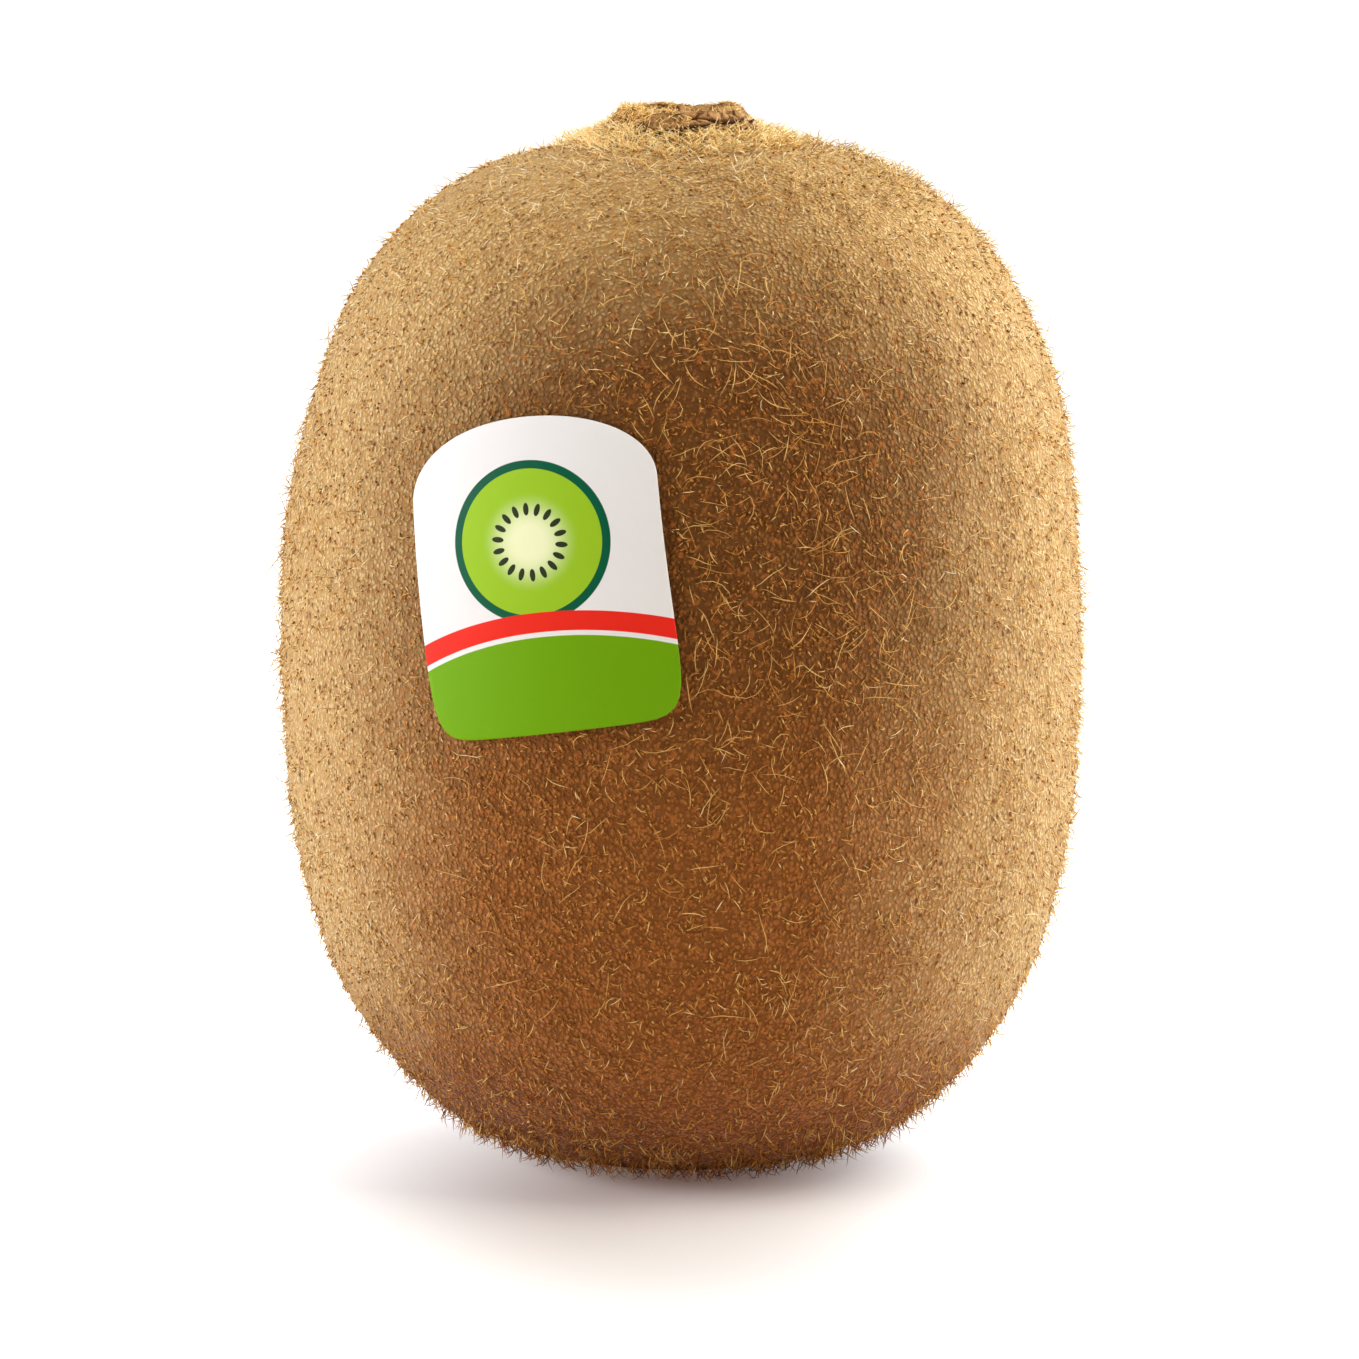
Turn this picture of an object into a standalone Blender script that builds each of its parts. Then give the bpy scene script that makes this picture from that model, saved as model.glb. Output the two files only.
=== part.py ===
"""A ripe green kiwifruit, standing on its blossom end with the stem end up.

The fruit is one solid: flesh and skin grew as one piece. What grew on it as pieces of their own
are the dry calyx and the stalk scar on the stem button, and the dry styles in the hollow of the
blossom end. A paper label is stuck to the front. Metres, +Z up, the front looks along -Y, and the
origin is the middle of the flat spot that the fruit rests on.
"""

import math

import bmesh
import bpy
import numpy as np

# Driving dimensions of the fruit
FRUIT_WIDTH = 0.0508
FRUIT_DEPTH = 0.0474
BODY_HEIGHT = 0.0655
TOP_FULLNESS = 2.68
BASE_FULLNESS = 2.56
SHOULDER_LIFT = 0.00025
SLIM_SIDE = 0.014

# The flat spot and the hollow at the blossom end
REST_RADIUS = 0.0056
HOLLOW_RADIUS = 0.0031
HOLLOW_ROOF = 0.0011
HOLLOW_DEPTH = 0.0014

# The stem button: a raised ring with a dish in it
BUTTON_FOOT = 0.0060
BUTTON_RIM = 0.0037
BUTTON_HEIGHT = 0.00090
DISH_EDGE = 0.0030
DISH_FLOOR = 0.0017
DISH_DEPTH = 0.00085

# The dry calyx, its five sepals, and the stalk scar inside it
SEPALS = 5
SEPAL_REACH = 0.0046
NOTCH_REACH = 0.0038
SEPAL_THICK = 0.00062
SEPAL_CURL = 0.00010
CALYX_FLOOR = 0.00028
SCAR_RADIUS = 0.00125
SCAR_HEIGHT = 0.00045

# The dry styles, which lie like spokes in the hollow
STYLES = 14
STYLE_REACH = 0.0024
STYLE_HUB = 0.0007
WEB_THICK = 0.00022
SPOKE_THICK = 0.00028
HUB_THICK = 0.00025
STYLE_CLEARANCE = 0.00025

# The paper label
LABEL_WIDTH = 0.0159
LABEL_HEIGHT = 0.0192
LABEL_TURN = math.radians(-20.8)
LABEL_ABOVE_MIDDLE = 0.0078
LABEL_LEAN = math.radians(8.8)
LABEL_THICK = 0.0003
ARCH_START = 0.265
ARCH_FULLNESS = 2.05
FOOT_FULLNESS = 10.0

# Room left between two pieces that touch on the real fruit
GAP = 0.0003

# How far the rings of the fruit's grid are drawn towards the poles, in radians
RING_DRAW = 0.27

HALF_HEIGHT = BODY_HEIGHT / 2
HALF_WIDTH = FRUIT_WIDTH / 2
HALF_DEPTH = FRUIT_DEPTH / 2
MEAN_RADIUS = (HALF_WIDTH + HALF_DEPTH) / 2


def clear_scene():
    """Removes every object of the startup scene."""
    for thing in list(bpy.data.objects):
        bpy.data.objects.remove(thing, do_unlink=True)


def make_material(name, colour, roughness):
    """A plain Principled material: colour is linear red, green, blue."""
    material = bpy.data.materials.new(name)
    material.use_nodes = True
    shader = material.node_tree.nodes["Principled BSDF"]
    shader.inputs["Base Color"].default_value = (*colour, 1.0)
    shader.inputs["Roughness"].default_value = roughness
    shader.inputs["Metallic"].default_value = 0.0
    return material


def smooth_step(value, low, high):
    """0 below low, 1 above high, and an S curve between them. low may be the larger."""
    share = np.clip((value - low) / (high - low), 0.0, 1.0)
    return share * share * (3.0 - 2.0 * share)


def fullness(height):
    """The superellipse's exponent: the stem end is a little squarer than the blossom end."""
    return np.where(height > 0, TOP_FULLNESS, BASE_FULLNESS)


def waviness(turn, height):
    """How far the fruit departs from a true ellipse, as a share of its radius.

    Two, three and five low ribs run from end to end, and die out at both poles. The side at -X is
    slimmer than the other towards both ends, and more so towards the stem end.
    """
    ribs = 0.0050 * np.cos(2 * turn + 0.7) + 0.0045 * np.cos(3 * turn - 0.4)
    ribs += 0.0030 * np.cos(5 * turn + 1.9 + 1.2 * height)
    one_side = (0.5 - 0.5 * np.sin(turn)) ** 2
    towards_ends = 6.75 * height**2 * (1.0 - height**2) ** 2 * (1.0 + 0.75 * height)
    return ribs * (1.0 - height**2) - SLIM_SIDE * one_side * towards_ends


def skin(turn, reach, height):
    """The skin before its two ends are shaped, from its middle.

    turn is the angle round the fruit, 0 at the front and growing towards +X. reach and height go
    from the axis (0) to the widest place (1), and from the base (-1) to the top (1).
    """
    wide = reach * (1.0 + waviness(turn, height))
    x = HALF_WIDTH * wide * np.sin(turn)
    y = -HALF_DEPTH * wide * np.cos(turn)
    lift = SHOULDER_LIFT * reach * np.sin(turn) * np.clip(height, 0.0, 1.0) ** 2
    return np.stack([x, y, HALF_HEIGHT * height + lift], axis=-1)


def reach_at(height):
    """The share of the full radius that a superellipse leaves at this height."""
    power = fullness(height)
    return (1.0 - np.abs(height) ** power) ** (1.0 / power)


# The rest spot cuts the base off here, below the fruit's middle
MIDDLE = HALF_HEIGHT * float(reach_at(np.array(-REST_RADIUS / MEAN_RADIUS)))
POLE = MIDDLE + HALF_HEIGHT


def hollow(radius):
    """Height of the blossom end's hollow over the surface that the fruit rests on."""
    return HOLLOW_DEPTH * smooth_step(radius, HOLLOW_RADIUS, HOLLOW_ROOF)


def stem_button(turn, radius):
    """Height of the raised ring and its dish over the pole. The ring isn't quite round."""
    radius = radius / (1.0 + 0.05 * np.sin(3 * turn + 0.8) + 0.03 * np.sin(7 * turn))
    ring = BUTTON_HEIGHT * smooth_step(radius, BUTTON_FOOT, BUTTON_RIM)
    dish = DISH_DEPTH * smooth_step(radius, DISH_EDGE, DISH_FLOOR)
    return ring - dish


def fruit_shape(directions):
    """Carries points of a unit sphere to the fruit's skin, with both ends shaped.

    Rings are first drawn towards the poles, where the button and the hollow need them.
    """
    polar = np.arccos(np.clip(directions[:, 2], -1.0, 1.0))
    polar = polar - RING_DRAW * np.sin(2.0 * polar)
    turn = np.arctan2(directions[:, 0], -directions[:, 1])
    flat, up = np.sin(polar), np.cos(polar)
    power = fullness(up)
    size = (np.abs(flat) ** power + np.abs(up) ** power) ** (1.0 / power)
    points = skin(turn, flat / size, up / size)

    radius = np.hypot(points[:, 0], points[:, 1])
    points[:, 2] = np.maximum(points[:, 2] + MIDDLE, 0.0)
    points[:, 2] += np.where(up > 0, stem_button(turn, radius), hollow(radius))
    return points


def pebble(name, segments, rings, shape, material):
    """A UV sphere whose points are carried to a closed form by shape(directions)."""
    mesh = bpy.data.meshes.new(name)
    body = bmesh.new()
    bmesh.ops.create_uvsphere(body, u_segments=segments, v_segments=rings, radius=1.0)
    body.to_mesh(mesh)
    body.free()
    directions = np.empty(len(mesh.vertices) * 3)
    mesh.vertices.foreach_get("co", directions)
    points = shape(directions.reshape(-1, 3))
    mesh.vertices.foreach_set("co", points.astype(np.float32).ravel())
    mesh.materials.append(material)
    mesh.shade_smooth()
    piece = bpy.data.objects.new(name, mesh)
    return piece


def over_and_under(directions):
    """For a flat form made from a sphere: turn, distance from the axis, and which points are on top.

    The distance is the share of the form's reach. It grows evenly from pole to equator.
    """
    polar = np.arccos(np.clip(directions[:, 2], -1.0, 1.0))
    turn = np.arctan2(directions[:, 0], -directions[:, 1])
    share = 1.0 - np.abs(1.0 - polar / (math.pi / 2))
    return turn, share, directions[:, 2] > -1e-6


def calyx_shape(directions):
    """Five shrivelled sepals round a pit, pressed to a crust: creased, crumpled, a few tips lifted."""
    turn, share, top = over_and_under(directions)
    place = SEPALS * (turn + math.pi) / (2 * math.pi) + 0.2
    number = np.floor(place) % SEPALS
    aside = np.abs(2.0 * (place - np.floor(place)) - 1.0)
    lobe = 1.0 - aside**2.2
    ragged = 0.00014 * np.sin(13 * turn + 1.0) + 0.00008 * np.sin(21 * turn)
    reach = NOTCH_REACH + (SEPAL_REACH - NOTCH_REACH) * lobe * (1.0 - 0.35 * (number % 2)) + ragged
    radius = share * reach

    seat = POLE + stem_button(turn, radius) + GAP
    curl = SEPAL_CURL * smooth_step(share, 0.6, 1.0) * lobe * (number % 3)
    arch = SEPAL_THICK * (0.60 + 0.40 * lobe) * smooth_step(share, 1.20, 0.80)
    crumple = 0.00013 * np.sin(11 * turn + 2.0) * np.sin(8.0 * share + 2.0 * number)
    pit = smooth_step(radius, 1.5 * SCAR_RADIUS + GAP, SCAR_RADIUS + GAP)
    thick = CALYX_FLOOR + (1.0 - pit) * np.maximum(arch + crumple - CALYX_FLOOR, 0.0)
    underside = seat + curl
    height = np.where(top, underside + thick, underside)
    height = np.where(share > 0.999, underside + thick / 2, height)
    return np.stack([radius * np.sin(turn), -radius * np.cos(turn), height], axis=-1)


def scar_shape(directions):
    """A round woody plug with a raised rim and a pitted middle, standing in the calyx's pit."""
    turn, share, top = over_and_under(directions)
    radius = SCAR_RADIUS * share * (1.0 + 0.06 * np.cos(3 * turn))
    seat = POLE + BUTTON_HEIGHT - DISH_DEPTH + 2 * GAP + CALYX_FLOOR
    rim = SCAR_HEIGHT * (0.7 + 0.3 * smooth_step(share, 0.2, 0.75)) * smooth_step(share, 1.05, 0.85)
    rough = 0.00005 * np.cos(4 * turn + 3.0 * share)
    height = seat + np.where(top, rim + rough * share, 0.0)
    return np.stack([radius * np.sin(turn), -radius * np.cos(turn), height], axis=-1)


def styles_shape(directions):
    """Dry styles like the spokes of a wheel round a hub, with a thin web, under the hollow's roof."""
    turn, share, top = over_and_under(directions)
    spoke = 0.5 + 0.5 * np.cos(STYLES * turn)
    radius = STYLE_REACH * share * (0.80 + 0.20 * spoke)
    roof = hollow(radius) - GAP
    hang = WEB_THICK + SPOKE_THICK * spoke * smooth_step(share, 1.0, 0.5)
    hang += HUB_THICK * smooth_step(radius, 1.6 * STYLE_HUB, 0.6 * STYLE_HUB)
    under = roof - np.minimum(hang, roof - STYLE_CLEARANCE)
    height = np.where(top, roof, under)
    height = np.where(share > 0.999, (roof + under) / 2, height)
    return np.stack([radius * np.sin(turn), -radius * np.cos(turn), height], axis=-1)


def label_outline(angle):
    """The label's edge in its own plane: an arch above a square foot with round corners.

    Both are superellipses, and they meet a share ARCH_START of the height above the middle.
    """
    shoulder = ARCH_START * LABEL_HEIGHT
    across, along = np.cos(angle), np.sin(angle)
    tall = np.where(along > 0, LABEL_HEIGHT / 2 - shoulder, LABEL_HEIGHT / 2 + shoulder)
    power = np.where(along > 0, ARCH_FULLNESS, FOOT_FULLNESS)
    size = (np.abs(across / (LABEL_WIDTH / 2)) ** power + np.abs(along / tall) ** power) ** (1 / power)
    return across / size, along / size + shoulder


def label_on_skin(right, up):
    """Lays a point of the label's plane on the fruit, one gap off the skin."""
    cosine, sine = math.cos(LABEL_LEAN), math.sin(LABEL_LEAN)
    over = right * cosine - up * sine
    rise = right * sine + up * cosine
    height = (LABEL_ABOVE_MIDDLE + rise) / HALF_HEIGHT
    turn = LABEL_TURN + over / (MEAN_RADIUS * reach_at(height))
    step = 1e-4
    point = skin(turn, reach_at(height), height)
    round_the_fruit = skin(turn + step, reach_at(height), height) - point
    upwards = skin(turn, reach_at(height + step), height + step) - point
    normal = np.cross(round_the_fruit, upwards)
    normal /= np.linalg.norm(normal, axis=-1, keepdims=True)
    return point + GAP * normal + np.array([0.0, 0.0, MIDDLE])


def make_label(material):
    """A grid drawn to the label's outline, laid on the skin and given its thickness."""
    mesh = bpy.data.meshes.new("produce_label")
    sheet = bmesh.new()
    bmesh.ops.create_grid(sheet, x_segments=12, y_segments=12, size=1.0)
    sheet.to_mesh(mesh)
    sheet.free()
    square = np.empty(len(mesh.vertices) * 3)
    mesh.vertices.foreach_get("co", square)
    square = square.reshape(-1, 3)
    ring = np.max(np.abs(square[:, :2]), axis=1)
    edge_right, edge_up = label_outline(np.arctan2(square[:, 1], square[:, 0]))
    points = label_on_skin(ring * edge_right, ring * edge_up)
    mesh.vertices.foreach_set("co", points.astype(np.float32).ravel())
    mesh.materials.append(material)
    mesh.shade_smooth()
    piece = bpy.data.objects.new("produce_label", mesh)
    paper = piece.modifiers.new("paper", "SOLIDIFY")
    paper.thickness = LABEL_THICK
    paper.offset = 1.0
    return piece


def main():
    clear_scene()
    skin_brown = make_material("skin_brown", (0.36, 0.20, 0.075), 0.85)
    dry_sepal = make_material("dry_sepal", (0.17, 0.095, 0.04), 0.9)
    scar_wood = make_material("scar_wood", (0.30, 0.20, 0.10), 0.9)
    dry_style = make_material("dry_style", (0.09, 0.05, 0.025), 0.9)
    label_paper = make_material("label_paper", (0.85, 0.86, 0.83), 0.4)

    fruit = bpy.data.collections.new("kiwifruit")
    bpy.context.scene.collection.children.link(fruit)
    pieces = [
        pebble("fruit_body", 56, 52, fruit_shape, skin_brown),
        pebble("dry_calyx", 50, 16, calyx_shape, dry_sepal),
        pebble("stalk_scar", 20, 10, scar_shape, scar_wood),
        pebble("dry_styles", 42, 14, styles_shape, dry_style),
        make_label(label_paper),
    ]
    for piece in pieces:
        fruit.objects.link(piece)


main()
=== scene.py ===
# %% [markdown]
# # A fuzzy kiwi fruit, made hair by hair
#
# A ripe kiwi fruit is a smooth, slightly squared egg. Its look comes from what covers it: brown skin
# with pores and russet scabs, a felt of short hairs, stubs and bristles, and long golden hairs that
# lie across it. This lesson makes each of those as real surfaces, so the fruit looks right from every
# side and under any light. A dry calyx sits on the stem end, a rosette of dry styles in the hollow of
# the other end, and a paper label on the front.

import math

import bpy
import numpy as np
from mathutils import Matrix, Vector


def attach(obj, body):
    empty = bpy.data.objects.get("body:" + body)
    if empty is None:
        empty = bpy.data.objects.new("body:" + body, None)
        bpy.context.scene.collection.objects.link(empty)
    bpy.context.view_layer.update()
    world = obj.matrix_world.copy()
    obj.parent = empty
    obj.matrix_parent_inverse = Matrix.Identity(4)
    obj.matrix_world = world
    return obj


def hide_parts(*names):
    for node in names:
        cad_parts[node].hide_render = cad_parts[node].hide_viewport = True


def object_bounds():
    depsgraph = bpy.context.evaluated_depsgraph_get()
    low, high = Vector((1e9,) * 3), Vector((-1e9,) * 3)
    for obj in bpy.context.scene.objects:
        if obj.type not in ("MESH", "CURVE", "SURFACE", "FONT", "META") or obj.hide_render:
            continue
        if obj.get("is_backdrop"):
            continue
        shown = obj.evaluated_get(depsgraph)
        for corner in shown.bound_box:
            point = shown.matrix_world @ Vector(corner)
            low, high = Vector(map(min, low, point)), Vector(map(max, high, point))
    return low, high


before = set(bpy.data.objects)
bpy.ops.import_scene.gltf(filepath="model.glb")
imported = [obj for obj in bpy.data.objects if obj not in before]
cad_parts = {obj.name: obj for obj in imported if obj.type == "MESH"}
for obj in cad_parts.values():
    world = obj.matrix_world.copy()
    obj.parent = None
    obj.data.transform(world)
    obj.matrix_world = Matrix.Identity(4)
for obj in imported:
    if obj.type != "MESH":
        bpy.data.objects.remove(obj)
cad_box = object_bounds()
MM = 0.001
print("solids in the frame:", sorted(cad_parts))

# %% [markdown]
# ## The form of the fruit
#
# The fruit is a superellipsoid: an ellipsoid whose power is a little over 2, which fills out its
# shoulders. A few low ribs run from end to end, because no fruit is a true solid of turning. The
# form is a function of two angles. Sculpting would give a similar shape, but a function also answers
# where the skin is under any hair or label, and every piece of this fruit needs that answer.

# %% Sizes of the fruit
HALF_WIDTH, HALF_DEPTH, HALF_HEIGHT = 25.4 * MM, 23.7 * MM, 32.75 * MM
MEAN_RADIUS = (HALF_WIDTH + HALF_DEPTH) / 2
TOP_FULLNESS, BASE_FULLNESS = 2.68, 2.56
SHOULDER_LIFT, SLIM_SIDE = 0.25 * MM, 0.014
REST_RADIUS = 5.6 * MM
HOLLOW_RADIUS, HOLLOW_ROOF, HOLLOW_DEPTH = 3.1 * MM, 1.1 * MM, 1.4 * MM
BUTTON_FOOT, BUTTON_RIM, BUTTON_HEIGHT = 6.0 * MM, 3.7 * MM, 0.90 * MM
DISH_EDGE, DISH_FLOOR, DISH_DEPTH = 3.0 * MM, 1.7 * MM, 0.85 * MM
GAP = 0.3 * MM


def smooth_step(value, low, high):
    """0 below low, 1 above high, and the S curve 3t^2 - 2t^3 between them. low may be the larger."""
    share = np.clip((value - low) / (high - low), 0.0, 1.0)
    return share * share * (3.0 - 2.0 * share)


def unit(vectors):
    """The vectors divided by their lengths."""
    return vectors / np.maximum(np.linalg.norm(vectors, axis=-1, keepdims=True), 1e-15)


def reach_at(height):
    """How wide the fruit is at a height from -1 to 1: (1 - |height|^p)^(1/p)."""
    power = np.where(height > 0, TOP_FULLNESS, BASE_FULLNESS)
    return (1.0 - np.abs(height) ** power) ** (1.0 / power)


MIDDLE = HALF_HEIGHT * float(reach_at(np.array(-REST_RADIUS / MEAN_RADIUS)))
POLE = MIDDLE + HALF_HEIGHT


def plain_skin(turn, reach, height):
    """An ellipse at each height, with two, three and five low ribs, from the fruit's middle.

    turn is 0 at the front and grows towards +X. The ribs fade as 1 - height^2 towards both ends. The
    side at -X is slimmer by a share that goes as height^2 (1 - height^2)^2 (1 + 0.75 height).
    """
    ribs = 0.0050 * np.cos(2 * turn + 0.7) + 0.0045 * np.cos(3 * turn - 0.4)
    ribs = ribs + 0.0030 * np.cos(5 * turn + 1.9 + 1.2 * height)
    slim = SLIM_SIDE * (0.5 - 0.5 * np.sin(turn)) ** 2
    slim = slim * 6.75 * height**2 * (1.0 - height**2) ** 2 * (1.0 + 0.75 * height)
    wide = reach * (1.0 + ribs * (1.0 - height**2) - slim)
    lift = SHOULDER_LIFT * reach * np.sin(turn) * np.clip(height, 0.0, 1.0) ** 2
    x = HALF_WIDTH * wide * np.sin(turn)
    y = -HALF_DEPTH * wide * np.cos(turn)
    return np.stack([x, y, HALF_HEIGHT * height + lift], axis=-1)


def stem_button(turn, radius):
    """Height of the raised ring round the stem, less the dish inside it, over the fruit's top."""
    radius = radius / (1.0 + 0.05 * np.sin(3 * turn + 0.8) + 0.03 * np.sin(7 * turn))
    ring = BUTTON_HEIGHT * smooth_step(radius, BUTTON_FOOT, BUTTON_RIM)
    return ring - DISH_DEPTH * smooth_step(radius, DISH_EDGE, DISH_FLOOR)


def hollow(radius):
    """Height of the hollow's roof at the blossom end over the surface that the fruit rests on."""
    return HOLLOW_DEPTH * smooth_step(radius, HOLLOW_RADIUS, HOLLOW_ROOF)


def fruit_skin(turn, polar):
    """The whole skin: turn goes round, and polar goes from the stem end (0) to the base (pi).

    A direction with flat part sin(polar) and upward part cos(polar) is divided by
    (|flat|^p + |up|^p)^(1/p), which puts it on the superellipse.
    """
    flat, up = np.sin(polar), np.cos(polar)
    power = np.where(up > 0, TOP_FULLNESS, BASE_FULLNESS)
    size = (np.abs(flat) ** power + np.abs(up) ** power) ** (1.0 / power)
    points = plain_skin(turn, flat / size, up / size)
    radius = np.hypot(points[..., 0], points[..., 1])
    rise = np.where(up > 0, stem_button(turn, radius), hollow(radius))
    points[..., 2] = np.maximum(points[..., 2] + MIDDLE, 0.0) + rise
    return points


def outward(turn, polar):
    """Unit normal of the skin, from the cross product of one small step down and one round."""
    step = 1e-4
    polar = np.clip(polar, 2 * step, math.pi - 2 * step)
    down = fruit_skin(turn, polar + step) - fruit_skin(turn, polar - step)
    round_it = fruit_skin(turn + step, polar) - fruit_skin(turn - step, polar)
    return unit(np.cross(down, round_it))


# %% [markdown]
# Rows of points should be evenly spaced along the skin, or the ends get crowded. The profile's
# length is added up once, and polar is then read back from a share of that length.

# %% Even spacing from end to end
fine_polar = np.linspace(0.0, math.pi, 2001)
profile = fruit_skin(np.zeros_like(fine_polar), fine_polar)
run = np.concatenate([[0.0], np.cumsum(np.linalg.norm(np.diff(profile, axis=0), axis=1))])
print(f"skin from end to end along the front: {run[-1] / MM:.1f} mm")


def polar_at(share):
    """The polar angle at a share (0 to 1) of the way along the skin from the stem end."""
    return np.interp(share, run / run[-1], fine_polar)


# %% [markdown]
# ## From arrays to meshes
#
# Two builders serve all pieces. The first takes points and triangles as whole arrays. The second
# takes a grid of points that closes round its columns and ends in a pole at its first and last row,
# which suits the skin, the calyx, the scar, the styles and the label alike.

# %% Put arrays into a mesh
def add_object(name, data):
    """A new object in the scene."""
    thing = bpy.data.objects.new(name, data)
    bpy.context.scene.collection.objects.link(thing)
    return thing


def mesh_piece(name, points, triangles, texture_map=None, map_names=()):
    """An object whose mesh has these points and triangles. texture_map is one pair for each corner."""
    mesh = bpy.data.meshes.new(name)
    mesh.vertices.add(len(points))
    mesh.vertices.foreach_set("co", points.astype(np.float32).ravel())
    mesh.loops.add(3 * len(triangles))
    mesh.loops.foreach_set("vertex_index", triangles.astype(np.int32).ravel())
    mesh.polygons.add(len(triangles))
    mesh.polygons.foreach_set("loop_start", np.arange(0, 3 * len(triangles), 3, dtype=np.int32))
    for map_name in map_names:
        layer = mesh.uv_layers.new(name=map_name)
        layer.uv.foreach_set("vector", texture_map.astype(np.float32).ravel())
    mesh.update(calc_edges=True)
    mesh.validate()
    mesh.shade_smooth()
    print(f"{name}: {len(triangles)} triangles")
    return add_object(name, mesh)


def closed_grid(name, grid, texture_grid, map_names):
    """A closed surface from grid[row, column]. Columns wrap round; the end rows are single points.

    texture_grid has one column more than grid, so that the map doesn't fold back at the seam.
    """
    rows, columns = grid.shape[:2]
    points = np.concatenate([grid[0, :1], grid[1:-1].reshape(-1, 3), grid[-1, :1]])
    index = np.zeros((rows, columns + 1), dtype=np.int64)
    index[1:-1, :columns] = 1 + np.arange((rows - 2) * columns).reshape(rows - 2, columns)
    index[:, columns] = index[:, 0]
    index[-1] = len(points) - 1
    row, column = np.meshgrid(np.arange(rows - 1), np.arange(columns), indexing="ij")
    quads = np.stack([row, column, row + 1, column, row + 1, column + 1, row, column + 1], axis=-1)
    quads = quads.reshape(rows - 1, columns, 4, 2)
    halves = [quads[:-1, :, [0, 1, 2]], quads[1:-1, :, [0, 2, 3]], quads[-1:, :, [0, 1, 3]]]
    corners = np.concatenate(halves).reshape(-1, 3, 2)
    triangles = index[corners[..., 0], corners[..., 1]]
    maps = texture_grid[corners[..., 0], corners[..., 1]]
    return mesh_piece(name, points, triangles, maps, map_names)


# %% [markdown]
# ## The skin
#
# Up close the skin isn't smooth: it has shallow dents and swellings a few millimetres across. They
# are too wide for a bump map to fake at the outline, so they are real, as a sum of sine waves in
# space. A noise texture with Displace could do the same, but then the hairs wouldn't know of it.

# %% Soft waves in space
dice = np.random.default_rng(31)
WAVES, WAVE_GAIN = 12, 2.4


def drift(points, width, seed):
    """Smooth noise of about -1 to 1: the mean of sine waves of random direction, about width long."""
    chance = np.random.default_rng(seed)
    ways = chance.normal(size=(WAVES, 3))
    pace = (2 * math.pi / width) * chance.uniform(0.7, 1.4, (WAVES, 1))
    ways *= pace / np.linalg.norm(ways, axis=1)[:, None]
    starts = chance.uniform(0, 2 * math.pi, WAVES)
    return np.sin(points @ ways.T + starts).mean(axis=-1) * WAVE_GAIN


def lumps(points, height):
    """The skin's low relief in metres, from waves of 9, 3.6 and 1.9 mm. It dies out where it rests."""
    relief = 0.09 * MM * drift(points, 9 * MM, 1) + 0.05 * MM * drift(points, 3.6 * MM, 2)
    relief += 0.028 * MM * drift(points, 1.9 * MM, 3)
    return relief * smooth_step(height, 0.2 * MM, 2.5 * MM)


# %% Build the skin
SKIN_COLUMNS, SKIN_ROWS = 330, 176
around = np.linspace(0.0, 2 * math.pi, SKIN_COLUMNS, endpoint=False)
downward = polar_at(np.linspace(0.0, 1.0, SKIN_ROWS))
turn_grid, polar_grid = np.meshgrid(around, downward)
skin_points = fruit_skin(turn_grid, polar_grid)
skin_points += lumps(skin_points, skin_points[..., 2])[..., None] * outward(turn_grid, polar_grid)
map_u, map_v = np.meshgrid(np.linspace(0, 1, SKIN_COLUMNS + 1), np.linspace(1, 0, SKIN_ROWS))
fruit = closed_grid("kiwi_skin", skin_points, np.stack([map_u, map_v], axis=-1), ["OFBake"])

# %% [markdown]
# ## Nodes for the finishes
#
# Every finish below is a small tree of nodes, so a few helpers keep the trees readable. Patterns are
# measured in millimetres of the fruit itself, so they stay put when it moves.

# %% Helpers for node trees
def new_finish(name, roughness, specular=0.5):
    """A material with a Principled shader. Returns it with its tree and shader."""
    material = bpy.data.materials.new(name)
    material.use_nodes = True
    tree = material.node_tree
    shader = tree.nodes["Principled BSDF"]
    shader.inputs["Roughness"].default_value = roughness
    shader.inputs["Specular IOR Level"].default_value = specular
    return material, tree, shader


def node(tree, kind, inputs, **settings):
    """Adds a node. inputs maps a socket's name or number to a value or to another node's output."""
    new = tree.nodes.new(kind)
    for key, value in settings.items():
        setattr(new, key, value)
    for key, value in inputs.items():
        if isinstance(value, bpy.types.NodeSocket):
            tree.links.new(value, new.inputs[key])
        else:
            new.inputs[key].default_value = value
    return new


def maths(operation, first, second=0.0):
    """One Math node: first operation second. One of them or both are outputs of other nodes."""
    tree = (first if isinstance(first, bpy.types.NodeSocket) else second).id_data
    return node(tree, "ShaderNodeMath", {0: first, 1: second}, operation=operation).outputs[0]


def times(first, second):
    """first times second."""
    return maths("MULTIPLY", first, second)


def plus(first, second):
    """first and second added."""
    return maths("ADD", first, second)


def minus(first, second):
    """first less second."""
    return maths("SUBTRACT", first, second)


def fade(value, low, high):
    """0 where value is at low, 1 where it is at high, and smooth between. low may be the larger."""
    ends = {"Value": value, "From Min": low, "From Max": high}
    smooth = node(value.id_data, "ShaderNodeMapRange", ends, interpolation_type="SMOOTHSTEP")
    return smooth.outputs["Result"]


def blend(share, first, second):
    """The colour first where share is 0, second where it is 1."""
    inputs = {0: share, 6: first, 7: second}
    return node(share.id_data, "ShaderNodeMix", inputs, data_type="RGBA").outputs[2]


def map_place(tree, map_name):
    """The two shares of a texture map, across and up."""
    place = node(tree, "ShaderNodeUVMap", {}, uv_map=map_name).outputs["UV"]
    parts = node(tree, "ShaderNodeSeparateXYZ", {"Vector": place})
    return parts.outputs["X"], parts.outputs["Y"]


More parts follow.
